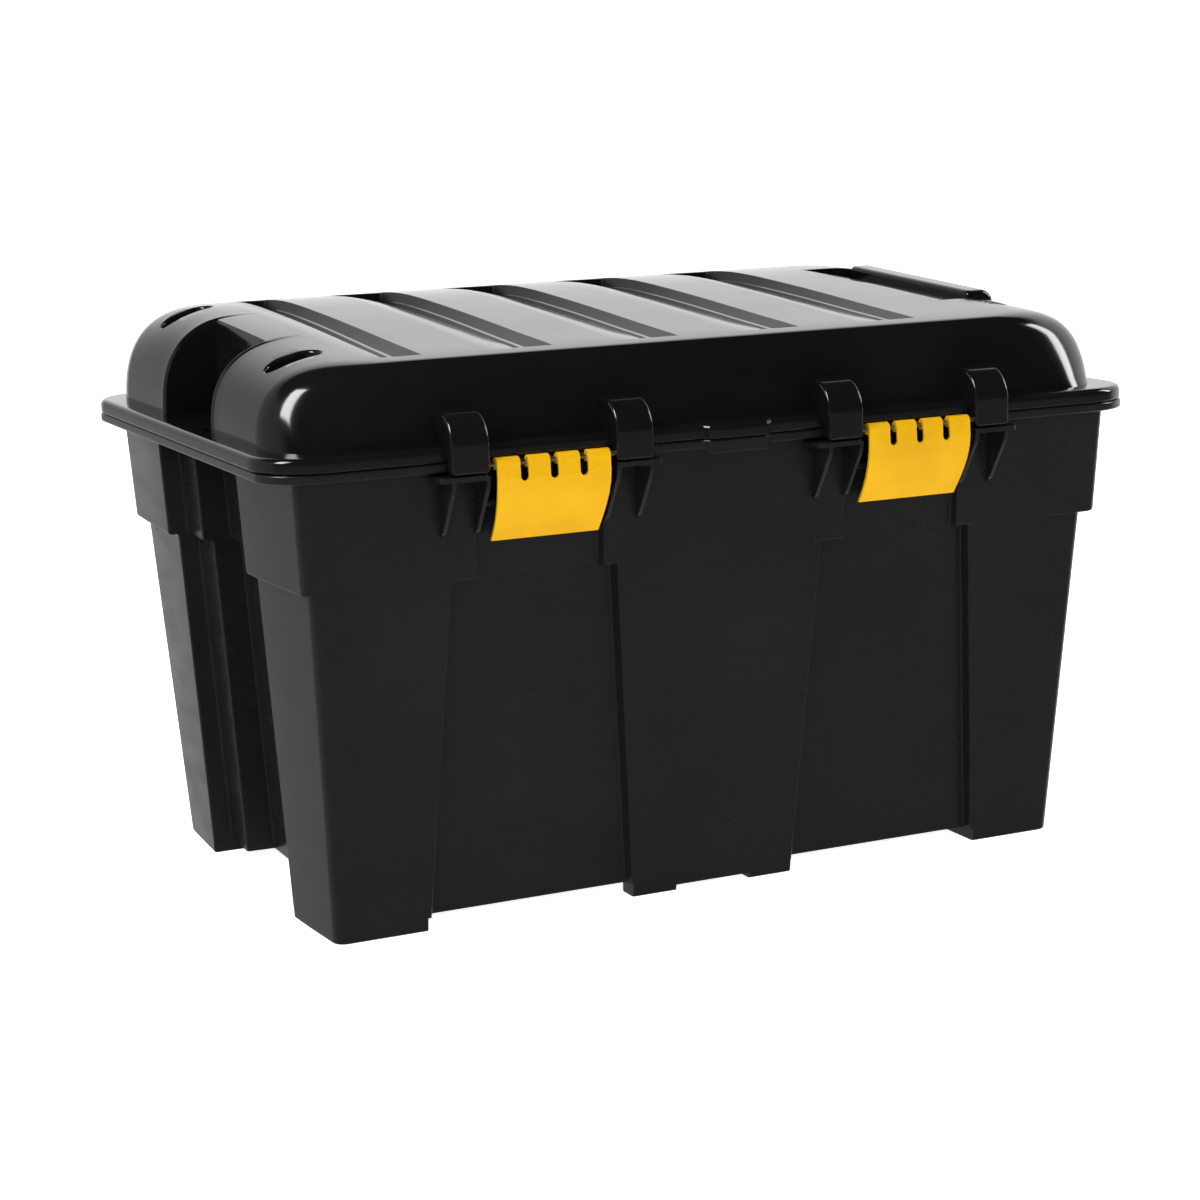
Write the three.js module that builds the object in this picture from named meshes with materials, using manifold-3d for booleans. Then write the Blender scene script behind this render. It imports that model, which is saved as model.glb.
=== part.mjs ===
// Lidded storage trunk: a tapered tub, a vaulted lid on rear hinge pins, two swinging
// latches on the front, and two small wheels on an axle at the right-hand end.
// Millimetres. +X is the trunk's length, -Y its front, +Z up. The origin is on the floor
// under the middle of the trunk.
import * as THREE from 'three';
import { mergeVertices } from 'three/addons/utils/BufferGeometryUtils.js';
import Module from 'manifold-3d';

const wasm = await Module();
wasm.setup();

// ---- driving dimensions -------------------------------------------------------------
const WALL = 3.5;                 // moulded wall of the tub
const LID_WALL = 3.2;             // moulded wall of the lid
const GAP = 0.4;                  // air between two pieces that meet but don't turn
const RUNNING = 0.1;              // radial clearance of a pin in its hole
const WELD = 1e-4;                // vertices closer than this are one

const FOOT = 9;                   // height of the feet under the floor
const FOOT_X = 208;               // inner edges of the corner feet
const FOOT_Y = 88;
const FOOT_MID_X = [28, 60];      // the two middle feet of each long side
const FOOT_MID_Y = 138;
const SKIRT_Z = 4;                // underside of the skirt between the middle feet
const BELT_Z = 234;               // underside of the wider belt
const RIM_Z = 306;                // underside of the tub's rim
const RIM_T = 6;                  // thickness of the tub's rim
const PART_Z = RIM_Z + RIM_T;     // parting plane between tub and lid

const BASE_HX = 266;              // half length and half depth of the tub at the floor
const BASE_HY = 163;
const LOWER_TAPER = 18;           // how much each grows up to the belt
const BELT_STEP = 7;              // the belt stands this far proud of the wall below
const BELT_TAPER = 4;
const END_BOW = 6;                // the ends bulge by this much at their middle
const TUB_CORNER = 16;

const RIM_HX = 316;
const RIM_HY = 205;
const RIM_CORNER = 38;

const PANEL_DEPTH = 9;            // front and back panels, set back between the pillars
const PANEL_IN = [60.6, 76.2];    // inner edge at the floor and at the belt
const PANEL_OUT = [205.3, 190];   // outer edge at the floor and at the belt
const END_SHOULDER = 86;          // half width of the recess in each end
const END_SHOULDER_DEPTH = 14;
const END_POCKET = 48;            // half width of the deeper middle of that recess
const END_POCKET_DEPTH = 34;

const LATCH_X = 132.5;            // both latches and both hinges, either side of the middle
const LATCH_SETBACK = 43.6;       // half width of the set-back in the belt under a latch
const LATCH_PIN_Y = -210;
const LATCH_PIN_Z = 309.5;
const LATCH_PIN_R = 1.6;
const LATCH_PIN_HALF = 56.2;       // half length of a latch pin
const KNUCKLE_R = 4.2;
const LATCH_TOP_W = 77.5;
const LATCH_FOOT_W = 74;
const LATCH_FOOT_Z = 258.5;
const LATCH_T = 2.6;
const LATCH_NOTCH_W = 5.5;
const LATCH_NOTCH_PITCH = 20.3;
const LATCH_NOTCH_Z = 301;        // middle of the round end of a notch between two knuckles
const LATCH_SHOULDER = 12;        // the knuckles keep the full width down to this below their top
// The latch's outer face, from its top knuckles down: nearly upright, then leaning in.
const LATCH_FACE = [[-214.2, 309.5], [-214.6, 300], [-212.6, 288], [-208, 277], [-203.2, 269],
  [-196, LATCH_FOOT_Z]];
const HOOK = { y0: -208.6, y1: -203.8, z0: 278, z1: 282, end: 8 };   // behind the latch, under the bar

const BAR = { y: -203.4, z0: 283, z1: 286 };      // catch bar between the gussets
const GUSSET_T = 2.8;
const GUSSET_TOP_Z = 302;
const GUSSET_TIP_Z = 298;         // depth of a gusset at the straps and at the wall
const GUSSET_FOOT_Z = [264, 262];
const PLATE_Z = [300.4, 304];     // the plates on top of the gussets
const PLATE_OVER = 7;             // a plate reaches this far beyond the outer strap

const STRAP_IN = 43.2;            // the lid's straps, from the latch's middle
const STRAP_OUT = 69;
const STRAP_Y = -215;
const STRAP_R = 21;
const STRAP_TOP_Z = 343;
const STRAP_FOOT_Z = 305;

const HINGE_Y = 209.5;
const HINGE_Z = 313;
const HINGE_R = 5.5;
const HINGE_PIN_R = 2.2;
const HINGE_HALF = 27;            // half width of one hinge
const LID_KNUCKLE_HALF = 13.5;
const HINGE_NOTCH_Y = 201.8;      // where the lid's flange is notched for the tub's knuckles
const RIM_NOTCH_Y = 202.4;        // where the tub's rim is notched for the lid's knuckle
// Webs of the hinge, as (y, z) from the pin: the tub's reach its belt at the heights of TUB_WEB_Z.
const TUB_WEB = [[-1, -3.4], [HINGE_R - 1.2, -3.4], [HINGE_R - 1.2, -5.2]];
const TUB_WEB_Z = [-32, -8];
const TUB_WEB_INNER = [-7, -1.5];

const LID_FLANGE_Z = 322;         // top of the lid's flange
const LID_HX = 303;
const LID_HY = 190;
const LID_CORNER = 45;
const LID_EDGE_Y = 165;           // where the top starts to round down to front and back
const LID_EDGE_R = 13;
const LID_SIDE_DRAFT = 12;        // the sides lean in by this much from flange to edge
const VAULT_MID = 381.5;          // height of the vault: mean, tilt to the back, crown
const VAULT_TILT = 7;
const VAULT_CROWN = 12;
const ABOVE_LID_Z = VAULT_MID + 30;
const END_ROUND_X = 235;          // where the ends start to round down
const RIDGES = [-195, -105, -15, 75, 165, 213];   // the steep faces of the shingled top
const RIDGE_HALF = 0.8;           // half the run of a steep face, also of the step at the borders
const BAND_LINES = [0.35, 0.7];   // a band is level up to the first of these shares of its length
const BAND_CURVE = 1.7;
const FIRST_BAND = [28, 13];      // mesh lines before the first ridge, on the rounded ends and across
const END_LINES = [0, 0.35, 0.65, 0.85, 0.96, 1];
const CROSS_LINES = [60, 115];
const EDGE_LINES = [0, 7, LID_EDGE_R];
const SHINGLE = 11;               // drop of each shingle
const BORDER_Y = 153;             // the shingles lie between plain borders
const SCOOP_HALF = 52;            // scoops in the ends of the lid
const SCOOP_X = 266;
const SCOOP_SOLID_X = 287;        // outside this the flange is solid across the scoop, round the slots
const CAPSULE = { x: 262, y: 118, half: 19, r: 10, depth: 12 };
const TIE_SLOT = { x: 300, y: 38, half: 9, r: 4.5 };
const TAB_HALF = 24;              // front centre tab on lid and rim
const TAB_OUT = 6;
const TAB_ROOT = 10;

const WHEEL_X = 262;
const WHEEL_Y = 56;
const WHEEL_R = 28;
const WHEEL_Z = 29.5;
const WHEEL_W = 25;
const HUB_R = 20;
const AXLE_R = 4;
const AXLE_HALF = 78;
const WELL_X = 229;
const WELL_Z = 64;
const RIB = { half: 15, r: 9, t: 4, air: 1.5 };   // the ribs that hold the axle
const CAP_R = 8;
const CAP_T = 3;
const BOSS_R = 9;                 // the hub's boss, and how far its web and lip stand from their faces
const HUB_WEB = 4;
const HUB_LIP = 3;
const TREAD_EDGE = 3;
const LIP_HALF = 70;              // lip under the tub's rim at the ends
const LIP_T = 3;
const LIP_DROP = 5;

const PIN_SIDES = 12;
const CORNER_STEPS = 6;
const END_STEPS = 8;

// ---- solids, joins and cuts ---------------------------------------------------------
function solid(geometry) {
  const bare = geometry.clone();
  bare.deleteAttribute('normal');
  bare.deleteAttribute('uv');
  const merged = mergeVertices(bare, WELD);
  return new wasm.Manifold(new wasm.Mesh({
    numProp: 3,
    vertProperties: new Float32Array(merged.attributes.position.array),
    triVerts: new Uint32Array(merged.index.array),
  }));
}

function join(first, ...others) {
  return others.reduce((sum, other) => sum.add(other), first);
}

function cut(body, ...tools) {
  return tools.reduce((rest, tool) => rest.subtract(tool), body);
}

function asMesh(name, body, material) {
  const { vertProperties, triVerts } = body.getMesh();
  const geometry = new THREE.BufferGeometry();
  geometry.setAttribute('position', new THREE.BufferAttribute(new Float32Array(vertProperties), 3));
  geometry.setIndex(new THREE.BufferAttribute(new Uint32Array(triVerts), 1));
  geometry.computeVertexNormals();
  const mesh = new THREE.Mesh(geometry, material);
  mesh.name = name;
  return mesh;
}

function box(x0, x1, y0, y1, z0, z1) {
  const geometry = new THREE.BoxGeometry(x1 - x0, y1 - y0, z1 - z0);
  return solid(geometry.translate((x0 + x1) / 2, (y0 + y1) / 2, (z0 + z1) / 2));
}

function extrude(shape, depth) {
  return new THREE.ExtrudeGeometry(shape, { depth, bevelEnabled: false, curveSegments: CORNER_STEPS });
}

// A prism along X: the outline's points are (y, z).
function prismX(shape, x0, x1) {
  const turn = new THREE.Matrix4().makeBasis(
    new THREE.Vector3(0, 1, 0), new THREE.Vector3(0, 0, 1), new THREE.Vector3(1, 0, 0));
  return solid(extrude(shape, x1 - x0).applyMatrix4(turn).translate(x0, 0, 0));
}

// A prism along Y: the outline's points are (x, z).
function prismY(shape, y0, y1) {
  const turn = new THREE.Matrix4().makeBasis(
    new THREE.Vector3(1, 0, 0), new THREE.Vector3(0, 0, 1), new THREE.Vector3(0, -1, 0));
  return solid(extrude(shape, y1 - y0).applyMatrix4(turn).translate(0, y1, 0));
}

function prismZ(shape, z0, z1) {
  return solid(extrude(shape, z1 - z0).translate(0, 0, z0));
}

function outline(...points) {
  return new THREE.Shape(points.map(([a, b]) => new THREE.Vector2(a, b)));
}

// A rod along X, centred on (y, z).
function rodX(r, x0, x1, y, z, sides = 16) {
  const geometry = new THREE.CylinderGeometry(r, r, x1 - x0, sides);
  return solid(geometry.rotateZ(Math.PI / 2).translate((x0 + x1) / 2, y, z));
}

function rodY(r, y0, y1, x, z, sides = 20) {
  const geometry = new THREE.CylinderGeometry(r, r, y1 - y0, sides);
  return solid(geometry.translate(x, (y0 + y1) / 2, z));
}

// A capsule outline along the first axis, from -half to +half.
function capsule(cx, cy, half, r) {
  const shape = new THREE.Shape();
  shape.absarc(cx + half - r, cy, r, -Math.PI / 2, Math.PI / 2, false);
  shape.absarc(cx - half + r, cy, r, Math.PI / 2, 3 * Math.PI / 2, false);
  return shape;
}

// Plan outline of a rounded rectangle whose ends bulge by bow.
function plan(hx, hy, r, bow = 0) {
  const points = [];
  [[1, 1], [-1, 1], [-1, -1], [1, -1]].forEach(([sx, sy], quarter) => {
    for (let step = 0; step <= CORNER_STEPS; step++) {
      const angle = (quarter + step / CORNER_STEPS) * Math.PI / 2;
      points.push([sx * (hx - r) + r * Math.cos(angle), sy * (hy - r) + r * Math.sin(angle)]);
    }
    if (sx * sy < 0) {
      for (let step = 1; step < END_STEPS; step++) {
        points.push([sx * hx, sy * (hy - r) * (1 - 2 * step / END_STEPS)]);
      }
    }
  });
  return points.map(([x, y]) => [x + Math.sign(x) * bow * (1 - (y / hy) ** 2), y]);
}

// A closed body between plan rings of equal point count at rising heights.
function loft(rings) {
  const count = rings[0].points.length;
  const positions = rings.flatMap(({ z, points }) => points.flatMap(([x, y]) => [x, y, z]));
  const faces = [];
  for (let ring = 0; ring + 1 < rings.length; ring++) {
    for (let i = 0; i < count; i++) {
      const a = ring * count + i;
      const b = ring * count + (i + 1) % count;
      faces.push(a, b, b + count, a, b + count, a + count);
    }
  }
  const flat = (points) => points.map(([x, y]) => new THREE.Vector2(x, y));
  const cap = (points) => THREE.ShapeUtils.triangulateShape(flat(points), []);
  const top = (rings.length - 1) * count;
  for (const [a, b, c] of cap(rings[0].points)) faces.push(a, c, b);
  for (const [a, b, c] of cap(rings.at(-1).points)) faces.push(top + a, top + b, top + c);
  const geometry = new THREE.BufferGeometry();
  geometry.setAttribute('position', new THREE.Float32BufferAttribute(positions, 3));
  geometry.setIndex(faces);
  return solid(geometry);
}

// A closed body under a height field, standing on the plane z = base.
function underSurface(xs, ys, height, base) {
  const columns = xs.length;
  const rows = ys.length;
  const positions = [];
  for (const y of ys) for (const x of xs) positions.push(x, y, height(x, y));
  for (const y of ys) for (const x of xs) positions.push(x, y, base);
  const floor = columns * rows;
  const at = (i, j) => j * columns + i;
  const faces = [];
  const quad = (a, b, c, d) => faces.push(a, b, c, a, c, d);
  for (let j = 0; j + 1 < rows; j++) {
    for (let i = 0; i + 1 < columns; i++) {
      quad(at(i, j), at(i + 1, j), at(i + 1, j + 1), at(i, j + 1));
      quad(floor + at(i, j), floor + at(i, j + 1), floor + at(i + 1, j + 1), floor + at(i + 1, j));
    }
  }
  for (let i = 0; i + 1 < columns; i++) {
    quad(floor + at(i, 0), floor + at(i + 1, 0), at(i + 1, 0), at(i, 0));
    quad(floor + at(i + 1, rows - 1), floor + at(i, rows - 1), at(i, rows - 1), at(i + 1, rows - 1));
  }
  for (let j = 0; j + 1 < rows; j++) {
    quad(floor + at(0, j + 1), floor + at(0, j), at(0, j), at(0, j + 1));
    const last = columns - 1;
    quad(floor + at(last, j), floor + at(last, j + 1), at(last, j + 1), at(last, j));
  }
  const geometry = new THREE.BufferGeometry();
  geometry.setAttribute('position', new THREE.Float32BufferAttribute(positions, 3));
  geometry.setIndex(faces);
  return solid(geometry);
}

const mix = (pair, t) => pair[0] + (pair[1] - pair[0]) * t;
const bothSides = [-1, 1];
const span = (a, b) => [Math.min(a, b), Math.max(a, b)];
const rising = (a, b) => a - b;

// ---- tub ----------------------------------------------------------------------------
const lowerHx = (z) => BASE_HX + LOWER_TAPER * z / BELT_Z;
const lowerHy = (z) => BASE_HY + LOWER_TAPER * z / BELT_Z;
const beltHx = (z) => lowerHx(BELT_Z) + BELT_STEP + BELT_TAPER * (z - BELT_Z) / (RIM_Z - BELT_Z);
const beltHy = (z) => lowerHy(BELT_Z) + BELT_STEP + BELT_TAPER * (z - BELT_Z) / (RIM_Z - BELT_Z);

function tubBody(inset, floor, top) {
  const ring = (hx, hy, z) => {
    const points = plan(hx(z) - inset, hy(z) - inset, TUB_CORNER - inset / 2, END_BOW);
    return { z, points };
  };
  const lower = loft([ring(lowerHx, lowerHy, floor), ring(lowerHx, lowerHy, BELT_Z + inset + 1)]);
  const belt = loft([ring(beltHx, beltHy, BELT_Z + inset), ring(beltHx, beltHy, top)]);
  return join(lower, belt);
}

// The panel between two pillars, on the front (side -1) or the back (side 1).
function panelTool(side, half, grow) {
  const ring = (z, t) => {
    const inner = half * (mix(PANEL_IN, t) - grow);
    const outer = half * (mix(PANEL_OUT, t) + grow);
    const deep = side * (lowerHy(z) - PANEL_DEPTH - grow);
    const clear = side * (RIM_HY + FOOT);
    const loop = [[inner, deep], [outer, deep], [outer, clear], [inner, clear]];
    return { z, points: half * side > 0 ? loop : loop.reverse() };
  };
  return loft([ring(-1, 0), ring(BELT_Z + grow, 1)]);
}

function setbackTool(half, grow) {
  const x = half * LATCH_X;
  const deep = beltHy(BELT_Z) - BELT_STEP - grow;
  const halfWidth = LATCH_SETBACK + grow;
  return box(x - halfWidth, x + halfWidth, -RIM_HY - FOOT, -deep, BELT_Z - 1, RIM_Z + grow);
}

// The recess in one end: wide shoulders, a deeper middle, closed on top by the rim.
function endTool(side, grow) {
  const step = (halfWidth, depth, hx, z0, z1) => {
    const ring = (z) => {
      const deep = side * (hx(z) + END_BOW - depth - grow);
      const clear = side * (RIM_HX + FOOT);
      const w = halfWidth + grow;
      const loop = [[deep, -w], [clear, -w], [clear, w], [deep, w]];
      return { z, points: side > 0 ? loop : loop.reverse() };
    };
    return loft([ring(z0), ring(z1)]);
  };
  const mid = BELT_Z + grow;
  return join(
    step(END_SHOULDER, END_SHOULDER_DEPTH, lowerHx, -1, mid),
    step(END_SHOULDER, END_SHOULDER_DEPTH, beltHx, mid - 1, RIM_Z + grow),
    step(END_POCKET, END_POCKET_DEPTH, lowerHx, -1, mid),
    step(END_POCKET, END_POCKET_DEPTH, beltHx, mid - 1, RIM_Z + grow));
}

function wheelWell(grow) {
  return box(WELL_X - grow, RIM_HX, -END_SHOULDER - grow, END_SHOULDER + grow, -1, WELL_Z + grow);
}

function tubRecesses(grow) {
  const tools = [wheelWell(grow)];
  for (const half of bothSides) {
    tools.push(endTool(half, grow), setbackTool(half, grow));
    for (const side of bothSides) tools.push(panelTool(side, half, grow));
  }
  return tools;
}

// What is taken away below the floor: all but the corner feet, the middle feet and the skirts
// between the middle feet, which follow the walls above them.
function underFloor() {
  const kept = [];
  for (const sy of bothSides) {
    const skirt = span(sy * FOOT_MID_Y, sy * RIM_HY);
    kept.push(box(-FOOT_MID_X[1], FOOT_MID_X[1], ...skirt, SKIRT_Z, FOOT + 1));
    for (const sx of bothSides) {
      kept.push(box(...span(sx * FOOT_X, sx * RIM_HX), ...span(sy * FOOT_Y, sy * RIM_HY), -2, FOOT + 1));
      kept.push(box(...span(sx * FOOT_MID_X[0], sx * FOOT_MID_X[1]), ...skirt, -2, FOOT + 1));
    }
  }
  return cut(box(-RIM_HX, RIM_HX, -RIM_HY, RIM_HY, -1, FOOT), ...kept);
}

// Catch bracket under the rim: a top plate on four tapered gussets, with the catch bar between.
function catchBracket(x) {
  const wallY = -(lowerHy(BELT_Z) - 1);
  const beltY = -(beltHy(RIM_Z) - 6);
  const front = STRAP_Y + 1;
  const gusset = outline([beltY, GUSSET_TOP_Z], [front, GUSSET_TOP_Z], [front, GUSSET_TIP_Z],
    [beltY - 2, GUSSET_FOOT_Z[0]], [wallY, GUSSET_FOOT_Z[1]], [wallY, GUSSET_TOP_Z]);
  const parts = [];
  for (const side of bothSides) {
    for (const inner of [STRAP_IN, STRAP_OUT - GUSSET_T]) {
      parts.push(prismX(gusset, ...span(x + side * inner, x + side * (inner + GUSSET_T))));
    }
    const ends = span(x + side * STRAP_IN, x + side * (STRAP_OUT + PLATE_OVER));
    parts.push(box(...ends, front, beltY, ...PLATE_Z));
  }
  parts.push(box(x - STRAP_IN - 1, x + STRAP_IN + 1, BAR.y, wallY, BAR.z0, BAR.z1));
  return join(...parts);
}

function tubHinge(x) {
  const belt = beltHy(RIM_Z) - 3 - HINGE_Y;
  const web = outline(...TUB_WEB, ...TUB_WEB_Z.map((z) => [belt, z]), TUB_WEB_INNER);
  const parts = [];
  for (const side of bothSides) {
    const ends = span(x + side * (LID_KNUCKLE_HALF + 1), x + side * HINGE_HALF);
    parts.push(rodX(HINGE_R, ...ends, HINGE_Y, HINGE_Z));
    parts.push(prismX(web, ...ends).translate([0, HINGE_Y, HINGE_Z]));
  }
  return join(...parts);
}

function axleRibs() {
  const rib = new THREE.Shape();
  rib.moveTo(WELL_X - 1, WHEEL_Z - RIB.half);
  rib.lineTo(WHEEL_X, WHEEL_Z - RIB.r);
  rib.absarc(WHEEL_X, WHEEL_Z, RIB.r, -Math.PI / 2, Math.PI / 2, false);
  rib.lineTo(WELL_X - 1, WHEEL_Z + RIB.half);
  const ribs = [];
  const apart = (WHEEL_W + RIB.t) / 2 + RIB.air;
  for (const side of bothSides) {
    for (const y of [WHEEL_Y - apart, WHEEL_Y + apart]) {
      ribs.push(prismY(rib, side * y - RIB.t / 2, side * y + RIB.t / 2));
    }
  }
  return ribs;
}

function tieSlots(z0, z1) {
  const slots = [];
  for (const sx of bothSides) {
    for (const sy of bothSides) {
      const shape = capsule(sy * TIE_SLOT.y, -sx * TIE_SLOT.x, TIE_SLOT.half, TIE_SLOT.r);
      slots.push(solid(extrude(shape, z1 - z0).rotateZ(Math.PI / 2).translate(0, 0, z0)));
    }
  }
  return slots;
}

function frontTab(z0, z1, reach) {
  return prismZ(capsule(0, TAB_ROOT - reach, TAB_HALF, TAB_ROOT + TAB_OUT), z0, z1);
}

function baseTub() {
  const rimPlan = plan(RIM_HX - 1, RIM_HY - 1, RIM_CORNER);
  const rim = loft([{ z: RIM_Z, points: rimPlan }, { z: PART_Z, points: rimPlan }]);
  const outside = cut(tubBody(0, 0, PART_Z - 1), ...tubRecesses(0), underFloor());
  const cavity = cut(tubBody(WALL, FOOT + WALL, PART_Z + FOOT), ...tubRecesses(WALL));
  let body = join(outside, rim, frontTab(RIM_Z - 2, PART_Z, RIM_HY - 1));
  body = cut(body, cavity, ...tieSlots(RIM_Z - 1, PART_Z + 1));
  for (const side of bothSides) {
    const x = side * LATCH_X;
    const knuckle = LID_KNUCKLE_HALF + 1;
    body = cut(body, box(x - knuckle, x + knuckle, RIM_NOTCH_Y, RIM_HY, RIM_Z - 1, PART_Z + 1));
    body = join(body, catchBracket(x), tubHinge(x));
    body = cut(body, rodX(HINGE_PIN_R + RUNNING, x - HINGE_HALF - 1, x + HINGE_HALF + 1, HINGE_Y, HINGE_Z));
    const lip = span(side * (RIM_HX - LIP_T * 1.5), side * (RIM_HX - LIP_T / 2));
    body = join(body, box(...lip, -LIP_HALF, LIP_HALF, RIM_Z - LIP_DROP, RIM_Z + 1));
  }
  body = join(body, ...axleRibs());
  return cut(body, rodY(AXLE_R + RUNNING, -AXLE_HALF - 1, AXLE_HALF + 1, WHEEL_X, WHEEL_Z));
}

// ---- lid ----------------------------------------------------------------------------
function vault(y) {
  const u = y / BORDER_Y;
  return VAULT_MID + VAULT_TILT * u + VAULT_CROWN * (1 - u * u);
}

// How far the shingled top lies below the vault: level, then curving down to the next ridge.
function shingleDrop(x) {
  const starts = [RIDGES[0] - (RIDGES[1] - RIDGES[0]) / 2, ...RIDGES];
  const band = starts.findLastIndex((start) => x >= start);
  if (band < 0 || band === starts.length - 1) return 0;
  const t = (x - starts[band]) / (starts[band + 1] - starts[band]);
  return SHINGLE * Math.max(0, (t - BAND_LINES[0]) / (1 - BAND_LINES[0])) ** BAND_CURVE;
}

function lidTop(x, y, thickness) {
  const reach = LID_HX - END_ROUND_X - thickness;
  const over = Math.min(1, Math.max(0, (Math.abs(x) - END_ROUND_X) / reach));
  const edge = Math.min(LID_EDGE_R, Math.max(0, Math.abs(y) - LID_EDGE_Y + thickness));
  const rounding = LID_EDGE_R - Math.sqrt(LID_EDGE_R ** 2 - edge ** 2);
  const drop = Math.abs(y) < BORDER_Y ? shingleDrop(x - thickness) : 0;
  const reachY = BORDER_Y + LID_EDGE_R;
  const height = vault(Math.max(-reachY, Math.min(reachY, y))) - drop - rounding;
  return LID_FLANGE_Z + (height - thickness - LID_FLANGE_Z) * Math.sqrt(1 - over ** 2);
}

function lidGrid(thickness) {
  const xs = FIRST_BAND.map((before) => RIDGES[0] - before);
  for (const ridge of RIDGES) xs.push(ridge - RIDGE_HALF + thickness, ridge + RIDGE_HALF + thickness);
  for (let i = 0; i + 1 < RIDGES.length; i++) {
    const length = RIDGES[i + 1] - RIDGES[i];
    const lines = length > SCOOP_HALF ? BAND_LINES : [0.5];
    for (const share of lines) xs.push(RIDGES[i] + share * length);
  }
  const reach = LID_HX - END_ROUND_X - thickness;
  for (const side of bothSides) {
    for (const part of END_LINES) xs.push(side * (END_ROUND_X + part * reach));
  }
  const ys = [0];
  for (const y of [...CROSS_LINES, BORDER_Y - RIDGE_HALF, BORDER_Y + RIDGE_HALF, LID_HY + 1]) ys.push(y, -y);
  for (const y of EDGE_LINES) ys.push(LID_EDGE_Y + y - thickness, thickness - LID_EDGE_Y - y);
  return { xs: xs.sort(rising), ys: ys.sort(rising) };
}

function lidBody(thickness, base) {
  const { xs, ys } = lidGrid(thickness);
  const under = underSurface(xs, ys, (x, y) => lidTop(x, y, thickness), base - 2);
  const ring = (z, lean) => ({
    z, points: plan(LID_HX - thickness - lean * 0.2, LID_HY - thickness - lean, LID_CORNER - thickness),
  });
  const sides = loft([ring(base, 0), ring(LID_FLANGE_Z, 0), ring(ABOVE_LID_Z, LID_SIDE_DRAFT * 1.4)]);
  return under.intersect(sides);
}

function capsuleTools(grow) {
  const tools = [];
  for (const sx of bothSides) {
    for (const sy of bothSides) {
      const floor = lidTop(CAPSULE.x, CAPSULE.y * sy, 0) - CAPSULE.depth - grow;
      const shape = capsule(sx * CAPSULE.x, sy * CAPSULE.y, CAPSULE.half + grow, CAPSULE.r + grow);
      tools.push(prismZ(shape, floor, floor + 60));
    }
  }
  return tools;
}

function scoopTool(side, grow) {
  const ends = span(side * (SCOOP_X - grow), side * (LID_HX + 1));
  return box(...ends, -SCOOP_HALF - grow, SCOOP_HALF + grow, LID_FLANGE_Z - grow, ABOVE_LID_Z);
}

function solidFlangeEnd(side) {
  const ends = span(side * SCOOP_SOLID_X, side * RIM_HX);
  return box(...ends, -SCOOP_HALF - LID_WALL, SCOOP_HALF + LID_WALL, RIM_Z, LID_FLANGE_Z);
}

// One rounded strap: it comes out of the lid's front, turns down and ends beside the latch.
function strap(x0, x1) {
  const shape = new THREE.Shape();
  shape.moveTo(STRAP_Y, STRAP_FOOT_Z);
  shape.lineTo(-RIM_HY - GAP, STRAP_FOOT_Z);
  shape.lineTo(-RIM_HY - GAP, PART_Z + 2);
  shape.lineTo(-LID_HY + 4, PART_Z + 2);
  shape.lineTo(-LID_HY + 6, STRAP_TOP_Z);
  shape.lineTo(STRAP_Y + STRAP_R, STRAP_TOP_Z);
  shape.absarc(STRAP_Y + STRAP_R, STRAP_TOP_Z - STRAP_R, STRAP_R, Math.PI / 2, Math.PI, false);
  return prismX(shape, x0, x1);
}

function lidKnuckle(x) {
  const ends = span(x - LID_KNUCKLE_HALF, x + LID_KNUCKLE_HALF);
  const web = outline([HINGE_Y + 1, HINGE_Z + 1], [HINGE_Y + 2, HINGE_Z + 5], [RIM_HY - 1, LID_FLANGE_Z],
    [RIM_HY - 4, LID_FLANGE_Z], [RIM_HY - 4, PART_Z + 1]);
  return join(rodX(HINGE_R, ...ends, HINGE_Y, HINGE_Z), prismX(web, ...ends));
}

function lidShell() {
  const flangePlan = plan(RIM_HX, RIM_HY, RIM_CORNER);
  const base = PART_Z + GAP;
  const flange = loft([{ z: base, points: flangePlan }, { z: LID_FLANGE_Z, points: flangePlan }]);
  const scoops = (grow) => bothSides.map((side) => scoopTool(side, grow));
  let body = cut(lidBody(0, base), ...scoops(0), ...capsuleTools(0));
  body = join(body, flange, frontTab(base, LID_FLANGE_Z, RIM_HY));
  const ends = bothSides.map(solidFlangeEnd);
  const cavity = cut(lidBody(LID_WALL, base - 1), ...scoops(LID_WALL), ...capsuleTools(LID_WALL), ...ends);
  body = cut(body, cavity, ...tieSlots(base - 1, LID_FLANGE_Z + 1));
  for (const side of bothSides) {
    const x = side * LATCH_X;
    for (const arm of bothSides) {
      body = join(body, strap(...span(x + arm * STRAP_IN, x + arm * STRAP_OUT)));
      const notch = span(x + arm * (LID_KNUCKLE_HALF + 0.5), x + arm * (HINGE_HALF + 1));
      body = cut(body, box(...notch, HINGE_NOTCH_Y, RIM_HY + 1, base - 1, LID_FLANGE_Z + 1));
    }
    body = join(body, lidKnuckle(x));
    const knuckle = LID_KNUCKLE_HALF + 1;
    body = cut(body, rodX(HINGE_PIN_R + RUNNING, x - knuckle, x + knuckle, HINGE_Y, HINGE_Z));
    const hole = LATCH_PIN_HALF + 0.5;
    body = cut(body, rodX(LATCH_PIN_R + RUNNING, x - hole, x + hole, LATCH_PIN_Y, LATCH_PIN_Z, PIN_SIDES));
  }
  return body;
}

// ---- latch --------------------------------------------------------------------------
const latchFace = new THREE.SplineCurve(LATCH_FACE.map(([y, z]) => new THREE.Vector2(y, z)));
const FACE_STEPS = 10;

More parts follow.
